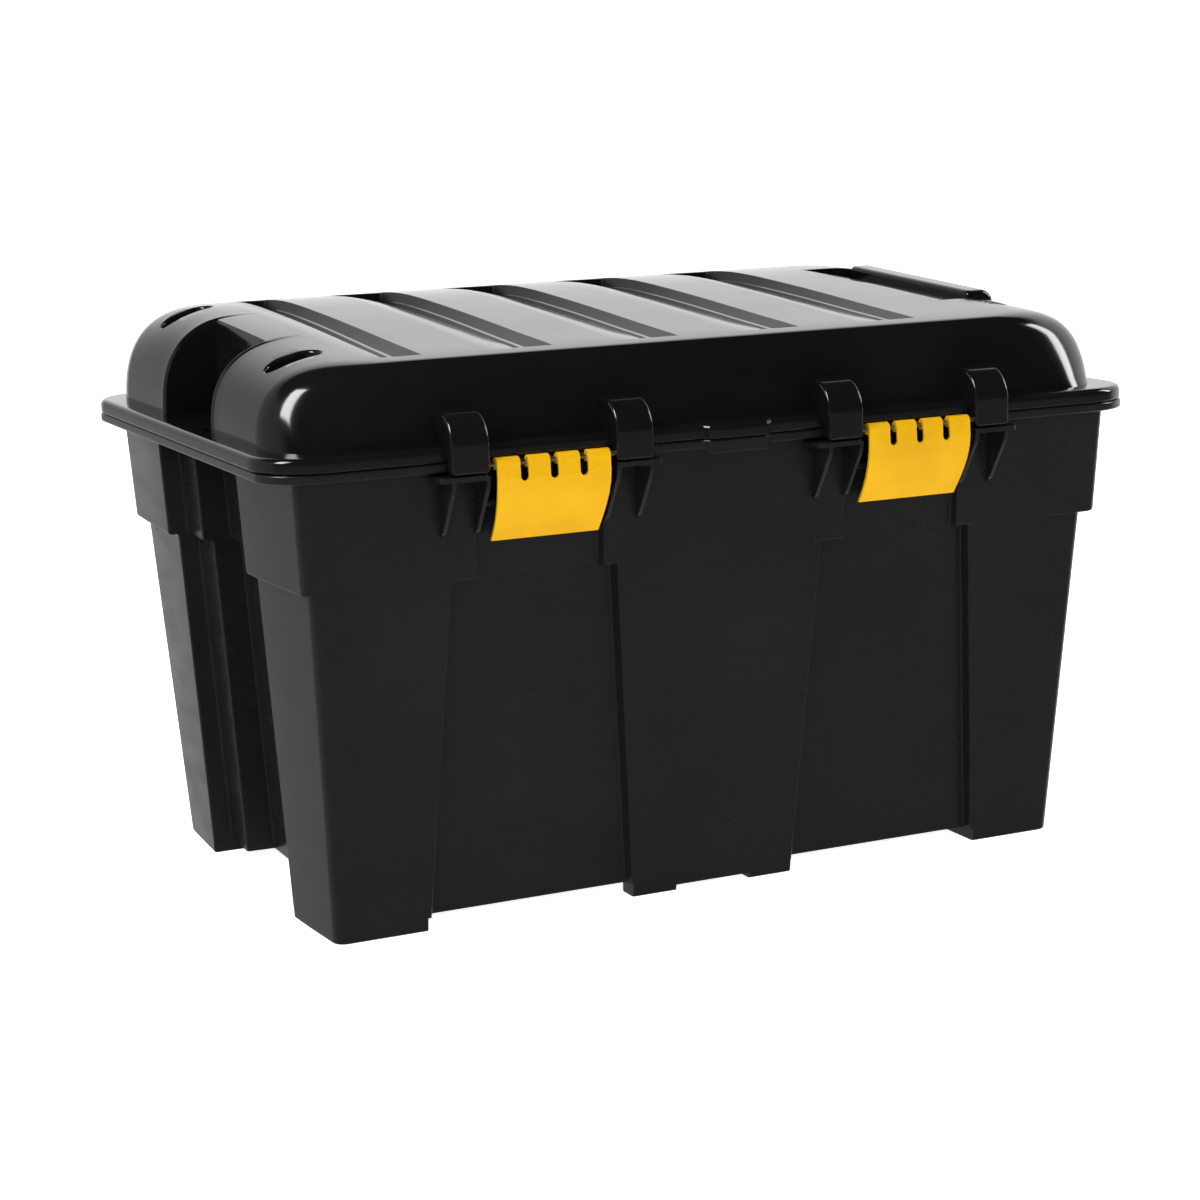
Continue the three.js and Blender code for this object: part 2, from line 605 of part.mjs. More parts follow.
function latchBlade() {
  const outer = latchFace.getPoints(FACE_STEPS);
  const inner = outer.map((point, i) => {
    const along = latchFace.getTangent(i / FACE_STEPS);
    return new THREE.Vector2(point.x - along.y * LATCH_T, point.y + along.x * LATCH_T);
  });
  const blade = new THREE.Shape([...outer, ...inner.reverse()]);
  return prismX(blade, -LATCH_TOP_W / 2, LATCH_TOP_W / 2);
}

function latch(x) {
  const top = LATCH_TOP_W / 2;
  const foot = LATCH_FOOT_W / 2;
  const high = LATCH_PIN_Z + KNUCKLE_R + 1;
  const shoulder = high - LATCH_SHOULDER;
  const low = LATCH_FOOT_Z - 2;
  let body = join(latchBlade(), rodX(KNUCKLE_R, -top, top, LATCH_PIN_Y, LATCH_PIN_Z));
  body = join(body, box(HOOK.end - top, top - HOOK.end, HOOK.y0, HOOK.y1, HOOK.z0, HOOK.z1));
  const corners = [[foot, low], [top, shoulder], [top, high]];
  const sides = outline(...corners, ...corners.reverse().map(([half, z]) => [-half, z]));
  body = body.intersect(prismY(sides, LATCH_PIN_Y - 20, LATCH_PIN_Y + 20));
  for (const place of [-1, 0, 1]) {
    const centre = place * LATCH_NOTCH_PITCH;
    const notch = new THREE.Shape();
    const r = LATCH_NOTCH_W / 2;
    notch.absarc(centre, LATCH_NOTCH_Z, r, Math.PI, 2 * Math.PI, false);
    notch.lineTo(centre + r, high + 1);
    notch.lineTo(centre - r, high + 1);
    body = cut(body, prismY(notch, LATCH_PIN_Y - 12, LATCH_PIN_Y + 12));
  }
  body = cut(body, rodX(LATCH_PIN_R + RUNNING, -top - 1, top + 1, LATCH_PIN_Y, LATCH_PIN_Z, PIN_SIDES));
  return body.translate([x, 0, 0]);
}

// ---- wheels -------------------------------------------------------------------------
// A body of revolution about the wheel's axle, from (radius, offset) points.
function wheelPart(points, y) {
  const profile = points.map(([r, offset]) => new THREE.Vector2(r, offset));
  profile.push(profile[0].clone());
  return solid(new THREE.LatheGeometry(profile, 24)).translate([WHEEL_X, y, WHEEL_Z]);
}

function hub(y) {
  const w = WHEEL_W / 2;
  const bore = AXLE_R + RUNNING;
  const rim = HUB_R - HUB_WEB;
  const lip = w - HUB_LIP;
  const half = [[bore, w], [BOSS_R, w], [BOSS_R, HUB_WEB], [rim, HUB_WEB], [rim, lip], [HUB_R, lip]];
  const other = half.map(([r, offset]) => [r, -offset]);
  return wheelPart([...other, ...half.reverse()], y);
}

function tyre(y) {
  const w = WHEEL_W / 2 - 1;
  const inner = HUB_R + GAP;
  const shoulder = WHEEL_R - TREAD_EDGE;
  const tread = w - TREAD_EDGE;
  const side = [[inner, w], [shoulder, w], [WHEEL_R, tread]];
  const other = side.map(([r, offset]) => [r, -offset]);
  return wheelPart([...other, ...side.reverse()], y);
}

function axleCap(side) {
  const y = WHEEL_Y + WHEEL_W / 2 + RIB.air + RIB.t + GAP;
  const cap = rodY(CAP_R, ...span(side * y, side * (y + CAP_T)), WHEEL_X, WHEEL_Z);
  return cut(cap, rodY(AXLE_R + RUNNING, -AXLE_HALF - 1, AXLE_HALF + 1, WHEEL_X, WHEEL_Z));
}

// ---- the object ---------------------------------------------------------------------
const materials = {
  tub: new THREE.MeshStandardMaterial({ name: 'tub_plastic', color: 0x1c1c1d, roughness: 0.38 }),
  lid: new THREE.MeshStandardMaterial({ name: 'lid_plastic', color: 0x0c0c0d, roughness: 0.18 }),
  latch: new THREE.MeshStandardMaterial({ name: 'latch_plastic', color: 0xf2b705, roughness: 0.4 }),
  steel: new THREE.MeshStandardMaterial({ name: 'steel', color: 0xb5b7ba, roughness: 0.35, metalness: 1 }),
  hub: new THREE.MeshStandardMaterial({ name: 'hub_plastic', color: 0x2a2a2b, roughness: 0.5 }),
  tyre: new THREE.MeshStandardMaterial({ name: 'tyre_rubber', color: 0x161616, roughness: 0.85 }),
};

const trunk = new THREE.Group();
trunk.add(asMesh('base_tub', baseTub(), materials.tub));
trunk.add(asMesh('lid_shell', lidShell(), materials.lid));
for (const [name, side] of [['left', -1], ['right', 1]]) {
  const x = side * LATCH_X;
  const latchPin = rodX(LATCH_PIN_R, x - LATCH_PIN_HALF, x + LATCH_PIN_HALF, LATCH_PIN_Y, LATCH_PIN_Z,
    PIN_SIDES);
  const hingePin = rodX(HINGE_PIN_R, x - HINGE_HALF, x + HINGE_HALF, HINGE_Y, HINGE_Z);
  trunk.add(asMesh(`latch_${name}`, latch(x), materials.latch));
  trunk.add(asMesh(`latch_pin_${name}`, latchPin, materials.steel));
  trunk.add(asMesh(`hinge_pin_${name}`, hingePin, materials.steel));
}
for (const [name, side] of [['front', -1], ['rear', 1]]) {
  trunk.add(asMesh(`wheel_hub_${name}`, hub(side * WHEEL_Y), materials.hub));
  trunk.add(asMesh(`wheel_tyre_${name}`, tyre(side * WHEEL_Y), materials.tyre));
  trunk.add(asMesh(`axle_cap_${name}`, axleCap(side), materials.steel));
}
trunk.add(asMesh('wheel_axle', rodY(AXLE_R, -AXLE_HALF, AXLE_HALF, WHEEL_X, WHEEL_Z), materials.steel));

export default trunk;
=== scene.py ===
"""Lidded storage trunk: the visual model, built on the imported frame.

Lengths are in millimetres and mesh_object() turns them into metres. +X is the trunk's length,
-Y its front and +Z up, as in the frame. The tub and the lid are lofts of plan outlines that all
have the same number of points, so that every step, panel and rounded edge is part of one skin.
"""
import math

import bpy
from mathutils import Matrix, Vector


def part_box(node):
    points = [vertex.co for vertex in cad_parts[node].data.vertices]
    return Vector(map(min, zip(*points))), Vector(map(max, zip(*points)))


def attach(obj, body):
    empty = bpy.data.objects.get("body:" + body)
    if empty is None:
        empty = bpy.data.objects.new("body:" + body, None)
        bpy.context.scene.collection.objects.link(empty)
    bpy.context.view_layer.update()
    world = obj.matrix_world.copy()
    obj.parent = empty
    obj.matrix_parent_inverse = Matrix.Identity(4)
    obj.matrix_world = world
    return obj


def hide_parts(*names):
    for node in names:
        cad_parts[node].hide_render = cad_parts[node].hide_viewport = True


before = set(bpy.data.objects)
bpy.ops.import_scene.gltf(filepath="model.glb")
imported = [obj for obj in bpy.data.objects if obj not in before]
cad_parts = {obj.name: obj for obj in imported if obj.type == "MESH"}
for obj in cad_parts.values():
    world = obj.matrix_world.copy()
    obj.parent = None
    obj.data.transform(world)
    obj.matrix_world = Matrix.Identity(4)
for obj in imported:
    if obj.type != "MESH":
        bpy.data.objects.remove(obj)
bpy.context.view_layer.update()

MM = 0.001


def cad_box(node):
    """Lowest and highest corner of a CAD node in millimetres."""
    low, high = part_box(node)
    return Vector(low) / MM, Vector(high) / MM


# ---- sizes ----
LID_LOW, LID_HIGH = cad_box("lid_shell")
LATCH_LOW, LATCH_HIGH = cad_box("latch_right")

FLANGE_X = LID_HIGH.x  # half length of the lid's flange
FLANGE_Y = 205
FLANGE_R = 38
RIM_IN = 1  # how far the tub's rim is inside the flange's outline
LATCH_X = (LATCH_LOW.x + LATCH_HIGH.x) / 2
FRONT_Y = LID_LOW.y  # front of the straps

WALL = 3.5
BELT_Z = 234  # underside of the tub's wider belt
RIM_Z = 306  # underside of the tub's rim
PART_Z = 312  # parting plane
LID_Z = 312.5  # underside of the lid's flange
BODY_Z = 322  # top of the flange, foot of the lid's body
FLOOR_Z = 9  # underside of the tub's floor

BASE_X, BASE_Y = 270.7, 159.5  # half sizes of the tub at the floor
TAPER_X, TAPER_Y = 13.3, 21.5  # how much wider it is under the belt
BELT_STEP = 7
BELT_TAPER = 4
END_BOW = 6
TUB_CORNER = 7
EDGE = 1.4  # rounding of moulded edges
STEP_LEAN = 1.2  # draft of the short walls between levels

PANEL_DEPTH = 9
PANEL_IN = (60.6, 76.2)  # inner edge of a panel at the floor and at the belt
PANEL_OUT = (205.3, 190)
SETBACK = 43.6  # half width of the set-back in the belt under a latch
SHOULDER, SHOULDER_DEPTH = 86, 14  # recess in each end of the tub: half width and depth
POCKET, POCKET_DEPTH = 48, 34  # the deeper pocket in its middle
TAB_HALF, TAB_OUT, TAB_DROP = 22.5, 6, 3  # centre tab of the rims' fronts

BODY_X, BODY_Y, BODY_R = 303, 190, 45  # plan of the lid's body at its foot
TOP_X, TOP_Y, TOP_R = 235, 165, 20  # where the lid's top starts to round down
GRID_X, GRID_Y = 222, 157.5  # the shingled field inside that
LID_WALL = 3.2
RIDGES = (-195, -105, -15, 75, 165)
RIDGE_PITCH = 90
SHINGLE_FRONT, SHINGLE_BACK = 1.2, 10.7  # depth of a shingle at the front and back borders
RAMP_FRONT, RAMP_BACK = 25, 2  # length of its ramp there
BAND_LEVEL = 45  # length of a band that stays level with the vault
# Section of the vault from the front to the back: (y, z).
VAULT = ((-205, 369), (-154, 374.2), (-100, 377.8), (-50, 381.3), (0, 384.6), (50, 387.4), (85, 389),
         (115, 389.4), (140, 388.4), (165, 386.2), (205, 381))
SCOOP = 52  # half width of the scoop in each end of the lid
CAPSULE_X, CAPSULE_Y, CAPSULE_HALF, CAPSULE_R, CAPSULE_DEPTH = 266, 114, 18, 10, 12

STRAP_IN, STRAP_OUT = 43.2, 69  # the straps' sides, from a latch's centre
STRAP_TOP, STRAP_FOOT, STRAP_R = 343, 305, 21
STRAP_ROUNDING = 2.4
HINGE_Y, HINGE_Z, HINGE_R, HINGE_BORE = 209.5, 313, 5.5, 2.3
LATCH_PIN_Y, LATCH_PIN_Z = -210, 309.5
SIDES = (-1, 1)
BEYOND = 400  # well outside the trunk, for cutting tools


def mix(a, b, t):
    return a + (b - a) * t


def smooth(t):
    t = min(1, max(0, t))
    return t * t * (3 - 2 * t)


# ---- meshes ----
SHARP_ANGLE = 38


def mesh_object(name, points, faces, material):
    mesh = bpy.data.meshes.new(name)
    mesh.from_pydata([Vector(p) * MM for p in points], [], faces)
    mesh.polygons.foreach_set("use_smooth", [True] * len(faces))
    obj = bpy.data.objects.new(name, mesh)
    bpy.context.collection.objects.link(obj)
    if material:
        mesh.materials.append(material)
    return obj


def skin_faces(count, total):
    """The cap under the first ring of count points, and the walls from ring to ring."""
    faces = [tuple(reversed(range(count)))]
    for low in range(0, total - count, count):
        for i in range(count):
            j = (i + 1) % count
            faces.append((low + i, low + j, low + count + j, low + count + i))
    return faces


def loft(name, rings, material=None):
    """A closed skin through rings of equal point count, capped at both ends."""
    count = len(rings[0])
    points = [p for ring in rings for p in ring]
    faces = skin_faces(count, len(points))
    faces.append(tuple(range(len(points) - count, len(points))))
    return mesh_object(name, points, faces, material)


def take(target, tool, operation):
    """Applies a boolean of tool to target and removes the tool."""
    modifier = target.modifiers.new(operation, "BOOLEAN")
    modifier.object = tool
    modifier.operation = operation
    modifier.solver = "EXACT"
    bake(target)
    bpy.data.objects.remove(tool)
    return target


def cut(target, *tools):
    for tool in tools:
        take(target, tool, "DIFFERENCE")
    return target


def bake(obj):
    """Applies an object's modifiers to its mesh."""
    evaluated = obj.evaluated_get(bpy.context.evaluated_depsgraph_get())
    mesh = bpy.data.meshes.new_from_object(evaluated)
    obj.modifiers.clear()
    obj.data = mesh
    return obj


def joined(name, objects, material):
    """Several closed bodies as one object."""
    points, faces = [], []
    for obj in objects:
        bake(obj)
        start = len(points)
        points += [obj.matrix_world @ v.co / MM for v in obj.data.vertices]
        faces += [tuple(start + i for i in p.vertices) for p in obj.data.polygons]
        bpy.data.objects.remove(obj)
    return mesh_object(name, points, faces, material)


def crisp(obj):
    """Smooth shading that keeps flat faces flat and real edges sharp."""
    obj.data.polygons.foreach_set("use_smooth", [True] * len(obj.data.polygons))
    obj.data.set_sharp_from_angle(angle=math.radians(SHARP_ANGLE))
    modifier = obj.modifiers.new("flat_faces", "WEIGHTED_NORMAL")
    modifier.keep_sharp = True
    return obj


def placed(obj, body, node=None):
    """Parents a finished piece to its body, hides the CAD node that it stands for, if any, and shades it
    crisply.
    """
    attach(obj, body)
    if node:
        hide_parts(node)
    return crisp(obj)


def only_material(obj, material):
    obj.data.materials.clear()
    obj.data.materials.append(material)


def rounded_edges(obj, radius, segments=3, angle=32):
    modifier = obj.modifiers.new("rounded_edges", "BEVEL")
    modifier.width = radius * MM
    modifier.segments = segments
    modifier.limit_method = "ANGLE"
    modifier.angle_limit = math.radians(angle)
    modifier.harden_normals = True
    return obj


def prism(name, outline, low, high, axis):
    """A straight prism. The outline is in the two other axes, in X, Y, Z order."""
    place = {
        "x": lambda a, b, c: (c, a, b),
        "y": lambda a, b, c: (a, c, b),
        "z": lambda a, b, c: (a, b, c),
    }[axis]
    turned = list(reversed(outline)) if axis == "y" else outline
    return loft(name, [[place(a, b, c) for a, b in turned] for c in (low, high)])


def lathe(name, profile, origin, axis, material, sides=48):
    """A closed profile of (radius, offset) turned about an axis through origin."""
    points, faces = [], []
    count = len(profile)
    for side in range(sides):
        angle = 2 * math.pi * side / sides
        for radius, offset in profile:
            a, b = radius * math.cos(angle), radius * math.sin(angle)
            local = (offset, a, b) if axis == "x" else (b, offset, a)
            points.append(Vector(origin) + Vector(local))
    for side in range(sides):
        this, other = side * count, (side + 1) % sides * count
        for i in range(count):
            j = (i + 1) % count
            faces.append((this + i, this + j, other + j, other + i))
    return mesh_object(name, points, faces, material)


def arc(cx, cy, radius, start, end, steps):
    """Points of an arc, angles in degrees."""
    angles = [math.radians(mix(start, end, i / steps)) for i in range(steps + 1)]
    return [(cx + radius * math.cos(a), cy + radius * math.sin(a)) for a in angles]


def capsule(cx, cy, half, radius, steps=12):
    """A long round-ended outline along the first axis."""
    return (arc(cx + half - radius, cy, radius, -90, 90, steps)
            + arc(cx - half + radius, cy, radius, 90, 270, steps))


# ---- plan outlines of the tub ----
ROUND_HANDLE = 0.5523  # Bezier handle of a quarter circle
MOST_OF_SIDE = 0.48  # share of a side that one rounded corner may use
STEP_POINTS = 4
CORNER_POINTS = 11


def rounded(corners):
    """A closed outline from (x, y, reach, point count) corners; the count never changes."""
    outline = []
    for i, (x, y, reach, count) in enumerate(corners):
        corner = Vector((x, y))
        if count == 1:
            outline.append(corner)
            continue
        before = Vector(corners[i - 1][:2]) - corner
        after = Vector(corners[(i + 1) % len(corners)][:2]) - corner
        start = corner + before.normalized() * min(reach, before.length * MOST_OF_SIDE)
        end = corner + after.normalized() * min(reach, after.length * MOST_OF_SIDE)
        first = start.lerp(corner, ROUND_HANDLE)
        second = end.lerp(corner, ROUND_HANDLE)
        for step in range(count):
            t = step / (count - 1)
            s = 1 - t
            outline.append(start * s ** 3 + first * 3 * s * s * t + second * 3 * s * t * t + end * t ** 3)
    return outline


def side_corners(half, steps):
    """One side, seen from outside: (position, depth) steps, or (position, None) for a plain point."""
    corners = []
    depth = 0
    for position, new_depth in steps:
        if new_depth is None:
            corners.append((position, -half + depth, 0, 1))
            continue
        corners.append((position - STEP_LEAN / 2, -half + depth, EDGE, STEP_POINTS))
        corners.append((position + STEP_LEAN / 2, -half + new_depth, EDGE, STEP_POINTS))
        depth = new_depth
    return corners


def four_sides(half_x, half_y, corner, front, end, back):
    """The whole outline: front, right end, back and left end, each turned by a quarter."""
    corners = []
    long_side, short_side = (half_y, half_x), (half_x, half_y)
    sides = [(*long_side, front), (*short_side, end), (*long_side, back), (*short_side, end)]
    for quarter, (half, along, steps) in enumerate(sides):
        side = side_corners(half, steps) + [(along, -half, corner, CORNER_POINTS)]
        for x, y, reach, count in side:
            for _ in range(quarter):
                x, y = -y, x
            corners.append((x, y, reach, count))
    return rounded(corners)


def mirrored(inside, outside):
    """Steps at -position for each of outside, then inside, then at +position, undoing each step."""
    left = sorted((-position, depth) for position, depth in outside)
    depths = [depth for _, depth in left]
    right = []
    for (position, _), before in zip(reversed(left), reversed([0] + depths[:-1])):
        right.append((-position, before))
    return left + inside + right


# Mesh lines that only follow a curve: at the tab's edges, across the bowed ends and near the corners.
TAB_EDGE = (-3, -1.2, 0, 1.2, 3)
TAB_LINES = [(side * (TAB_HALF + offset), None) for side in SIDES for offset in TAB_EDGE]
BOW_LINES = [(position, None) for position in (-24, 0, 24)]
CORNER_LINES = [(position, None) for position in (112, 140)]


def end_steps(grow, depth):
    """Steps along an end: the recess and its pocket, or only their lines when depth is 0."""
    left = [(-position, None) for position, _ in reversed(CORNER_LINES)]
    left += [(-SHOULDER - grow, SHOULDER_DEPTH * depth), (-POCKET - grow, POCKET_DEPTH * depth)]
    right = [(POCKET + grow, SHOULDER_DEPTH * depth), (SHOULDER + grow, 0)]
    return left + BOW_LINES + right + CORNER_LINES


def tub_outline(z, belt, inset=0, grow=0):
    """belt is 0 on the lower wall and 1 on the belt; grow is how far inside the outer skin."""
    rise = min(z, BELT_Z) / BELT_Z
    above = max(0, z - BELT_Z) / (RIM_Z - BELT_Z)
    swell = mix(0, BELT_STEP + BELT_TAPER * above, belt) - inset - grow
    half_x = BASE_X + TAPER_X * mix(rise, 1, belt) + swell
    half_y = BASE_Y + TAPER_Y * mix(rise, 1, belt) + swell
    panel = PANEL_DEPTH * (1 - belt)
    under_latch = mix(PANEL_DEPTH, BELT_STEP, belt)
    outer = mix(*PANEL_OUT, rise) + grow
    inner = mix(*PANEL_IN, rise) - grow
    setback = [(LATCH_X + SETBACK + grow, under_latch), (LATCH_X - SETBACK - grow, panel)]
    front = mirrored(sorted(TAB_LINES), [(outer, panel), *setback, (inner, 0)])
    back = mirrored([], [(outer, panel), (inner, 0)])
    outline = four_sides(half_x, half_y, TUB_CORNER - grow / 2, front, end_steps(grow, 1), back)
    return [(p.x + math.copysign(END_BOW * max(0, 1 - (p.y / half_y) ** 2), p.x), p.y, z) for p in outline]


def tab_share(x, y):
    """1 on the front centre tab, 0 beside it."""
    reach = TAB_EDGE[-1]
    return smooth((TAB_HALF + reach - abs(x)) / (2 * reach)) if y < 0 else 0


def rim_outline(z, inset=0, drop=0):
    positions = [mix(*PANEL_OUT, 1), LATCH_X + SETBACK, LATCH_X - SETBACK, mix(*PANEL_IN, 1)]
    front = mirrored(sorted(TAB_LINES), [(p, 0) for p in positions])
    back = mirrored([], [(positions[0], 0), (positions[-1], 0)])
    half_x, half_y = FLANGE_X - RIM_IN - inset, FLANGE_Y - RIM_IN - inset
    outline = four_sides(half_x, half_y, FLANGE_R - RIM_IN, front, end_steps(0, 0), back)
    return [(p.x, p.y - TAB_OUT * tab_share(p.x, p.y), z - drop * tab_share(p.x, p.y)) for p in outline]


# ---- tub ----
EDGE_CURVE = ((0, 1), (0.12, 0.5), (0.45, 0.14), (1, 0))  # quarter round: (along, inset)
# How the wall steps out to the belt, outside and inside: (height from its foot, share of the step).
BELT_FOOT = ((-2.4, 0), (-0.7, 0.07), (0, 0.22), (0, 0.76), (0.45, 0.93), (1.8, 1))
BELT_FOOT_INSIDE = ((-1.5, 0), (-0.3, 0.2), (0.3, 0.8), (2, 1))
FLOOR_R = 6  # rounding round the floor inside


def edge_steps(radius, curve=EDGE_CURVE):
    """A rounded edge from the outside in: (distance along, inset)."""
    return [(radius * along, radius * inset) for along, inset in curve]


def tub_solid():
    rings = [tub_outline(dz, 0, inset) for dz, inset in edge_steps(EDGE)]
    rings += [tub_outline(BELT_Z + dz, share) for dz, share in BELT_FOOT]
    rings.append(tub_outline(RIM_Z, 1))
    rings += [rim_outline(RIM_Z + dz, inset, TAB_DROP) for dz, inset in edge_steps(EDGE)]
    rings += [rim_outline(PART_Z - dz, inset) for dz, inset in reversed(edge_steps(EDGE))]
    return loft("tub_skin", rings)


def tub_cavity():
    floor = FLOOR_Z + WALL
    rings = [tub_outline(floor + dz, 0, inset, WALL) for dz, inset in edge_steps(FLOOR_R)]
    rings += [tub_outline(BELT_Z + WALL + dz, share, 0, WALL) for dz, share in BELT_FOOT_INSIDE]
    rings += [tub_outline(PART_Z - dz, 1, -inset, WALL) for dz, inset in reversed(edge_steps(EDGE))]
    rings.append(tub_outline(PART_Z + WALL, 1, -EDGE, WALL))
    return loft("tub_cavity", rings)


FOOT_X, FOOT_Y = 208, 88  # inner corner of a corner foot
FOOT_MID = (28, 60)  # a middle foot pair: from and to, each side of the centre
FOOT_MID_Y = 138  # inner face of the middle feet
FOOT_R = 6
SKIRT_Z, SKIRT_IN, SKIRT_R = 4, 4, 2  # gap under the wall between the middle feet
WELL_X, WELL_Z, WELL_R = 229, 64, 12  # the wheels' room in the right end
UNDER = -5  # below the floor, where cutting tools start
SLOT_X, SLOT_Y, SLOT_HALF, SLOT_R = 300, 38, 9, 4.5  # tie slots through both rims
SLOT_PLAY = 3


def under_floor():
    """What is taken away between the feet."""
    quarter = [(BEYOND, FOOT_Y), (FOOT_X, FOOT_Y), (FOOT_X, BEYOND), (FOOT_MID[1], BEYOND),
               (FOOT_MID[1], FOOT_MID_Y)]
    loop = quarter + [(-x, y) for x, y in reversed(quarter)]
    loop += [(-x, -y) for x, y in loop]
    outline = rounded([(x, y, FOOT_R, 5) for x, y in loop])
    return prism("under_floor", outline, UNDER, FLOOR_Z, "z")


def under_skirt(side):
    low, high = sorted((side * (FOOT_MID_Y - SKIRT_IN), side * BEYOND))
    half = FOOT_MID[0]
    corners = ((-half, low), (half, low), (half, high), (-half, high))
    outline = rounded([(x, y, SKIRT_R, 4) for x, y in corners])
    return prism("under_skirt", outline, UNDER, SKIRT_Z, "z")


def wheel_well(grow):
    half, top, corner = SHOULDER + grow, WELL_Z + grow, WELL_R + grow
    corners = [(-half, UNDER, 0, 1), (half, UNDER, 0, 1), (half, top, corner, 7), (-half, top, corner, 7)]
    return prism("well", rounded(corners), WELL_X - grow, BEYOND, "x")


def tie_slot(x, y, low, high):
    outline = [(x + b, y + a) for a, b in capsule(0, 0, SLOT_HALF, SLOT_R)]
    return prism("tie_slot", list(reversed(outline)), low, high, "z")


def tie_slots(low, high):
    spans = (low - SLOT_PLAY, high + SLOT_PLAY)
    return [tie_slot(sx * SLOT_X, sy * SLOT_Y, *spans) for sx in SIDES for sy in SIDES]


def base_tub(material):
    tub = cut(tub_solid(), under_floor(), under_skirt(-1), under_skirt(1), wheel_well(0))
    cut(tub, cut(tub_cavity(), wheel_well(WALL)), *tie_slots(RIM_Z, PART_Z))
    tub.name = "tub"
    only_material(tub, material)
    return placed(tub, "tub", "base_tub")


# The catch brackets under the rim. Heights: gussets and top plates, and the catch bar's section.
UPPER_WALL = BASE_Y + TAPER_Y
BELT_FACE = UPPER_WALL + BELT_STEP + BELT_TAPER
GUSSET_TOP, GUSSET_LIP, GUSSET_FOOT, GUSSET_HALF = 303, 297, 261, 1.4
PLATE_Z, PLATE_PAST = (300.4, 304), 7.5
CATCH_BAR = ((-202.5, 282.5), (-203.4, 283.5), (-203.4, 285), (-202, 286.5))


def gusset(x):
    front = FRONT_Y + 1.2
    corners = [(2 - UPPER_WALL, GUSSET_TOP, 0.5), (2 - UPPER_WALL, GUSSET_FOOT, 0.5),
               (-BELT_FACE, GUSSET_FOOT + 2, 5), (front, GUSSET_LIP, 5), (front, GUSSET_TOP, 0.5)]
    outline = rounded([(y, z, reach, 5) for y, z, reach in corners])
    return prism("gusset", outline, x - GUSSET_HALF, x + GUSSET_HALF, "x")


def bracket_plate(x0, x1):
    back, front = 3 - BELT_FACE, FRONT_Y + 1
    corners = [(x0, back, 0.5), (x0, front, 4), (x1, front, 4), (x1, back, 0.5)]
    outline = rounded([(x, y, reach, 6) for x, y, reach in corners])
    return prism("bracket_plate", outline, *PLATE_Z, "z")


def catch_bracket(name, centre, material):
    """Under the rim, beside and behind a latch: top plates on gussets, and the catch bar between."""
    parts = []
    for side in SIDES:
        for offset in (STRAP_IN + GUSSET_HALF, STRAP_OUT - GUSSET_HALF):
            parts.append(gusset(centre + side * offset))
        ends = sorted((centre + side * STRAP_IN, centre + side * (STRAP_OUT + PLATE_PAST)))
        parts.append(bracket_plate(*ends))
    bar = [*CATCH_BAR, (2 - UPPER_WALL, CATCH_BAR[-1][1]), (2 - UPPER_WALL, CATCH_BAR[0][1])]
    parts.append(prism("catch_bar", bar, centre - STRAP_IN - 1, centre + STRAP_IN + 1, "x"))
    for part in parts:
        rounded_edges(part, 0.7, 2)
    return placed(joined(name, parts, material), "tub")


LID_KNUCKLE = 13.5  # half width of a hinge's middle knuckle
TUB_KNUCKLES = (14.5, 27)  # the outer knuckles, from the hinge's centre


def hinge_web(x0, x1):
    belt = BELT_FACE - 3
    outline = [(HINGE_Y - 7, HINGE_Z - 1.5), (belt, HINGE_Z - 8), (belt, HINGE_Z - 32)]
    outline += [(HINGE_Y + HINGE_R - 1.2, HINGE_Z - 5.2), (HINGE_Y + HINGE_R - 1, HINGE_Z - 2.5)]
    return prism("hinge_web", outline, x0, x1, "x")


def knuckle(x0, x1):
    side = [(HINGE_BORE, 0), (HINGE_R - 0.7, 0), (HINGE_R - 0.2, 0.2), (HINGE_R, 0.7)]
    profile = [(radius, x0 + offset) for radius, offset in side]
    profile += [(radius, x1 - offset) for radius, offset in reversed(side)]
    return lathe("knuckle", profile, (0, HINGE_Y, HINGE_Z), "x", None, 32)


def tub_hinge(name, centre, material):
    parts = []
    for side in SIDES:
        ends = sorted(centre + side * offset for offset in TUB_KNUCKLES)
        parts.append(rounded_edges(hinge_web(*ends), 0.8, 2))
        parts.append(knuckle(*ends))
    return placed(joined(name, parts, material), "tub")


# ---- lid ----
def vault(y):
    """Height of the vault: a smooth curve through the points of VAULT."""
    i = max(1, min(len(VAULT) - 3, sum(at <= y for at, _ in VAULT) - 1))
    (ya, za), (yb, zb), (yc, zc), (yd, zd) = VAULT[i - 1:i + 3]
    run = yc - yb
    t = (y - yb) / run
    first = (zc - za) / (yc - ya) * run
    second = (zd - zb) / (yd - yb) * run
    rise = zc - zb
    return zb + t * (first + t * (3 * rise - 2 * first - second + t * (first + second - 2 * rise)))


def vault_slope(y):
    return vault(y + 0.5) - vault(y - 0.5)


# One ramp, from its foot to its rounded top: (share of its length, share of the drop).
LEDGE_FOOT, LEDGE_TOP = 0.84, 0.72  # the narrow ledge across it
RAMP_CURVE = ((1, 1), (0.98, 0.96), (LEDGE_FOOT, 0.74), (0.81, 0.71), (0.75, 0.7), (LEDGE_TOP, 0.66),
              (0.5, 0.43), (0.16, 0.1), (0.08, 0.03), (0.03, 0.005), (0, 0))
BAND_STEPS = 5
BAND_POWER = 1.5  # how a band curves down to the ramp's foot


def toward_back(y):
    """0 at the front border of the shingled top, 1 at the back one."""
    return (y + BORDER) / (2 * BORDER)


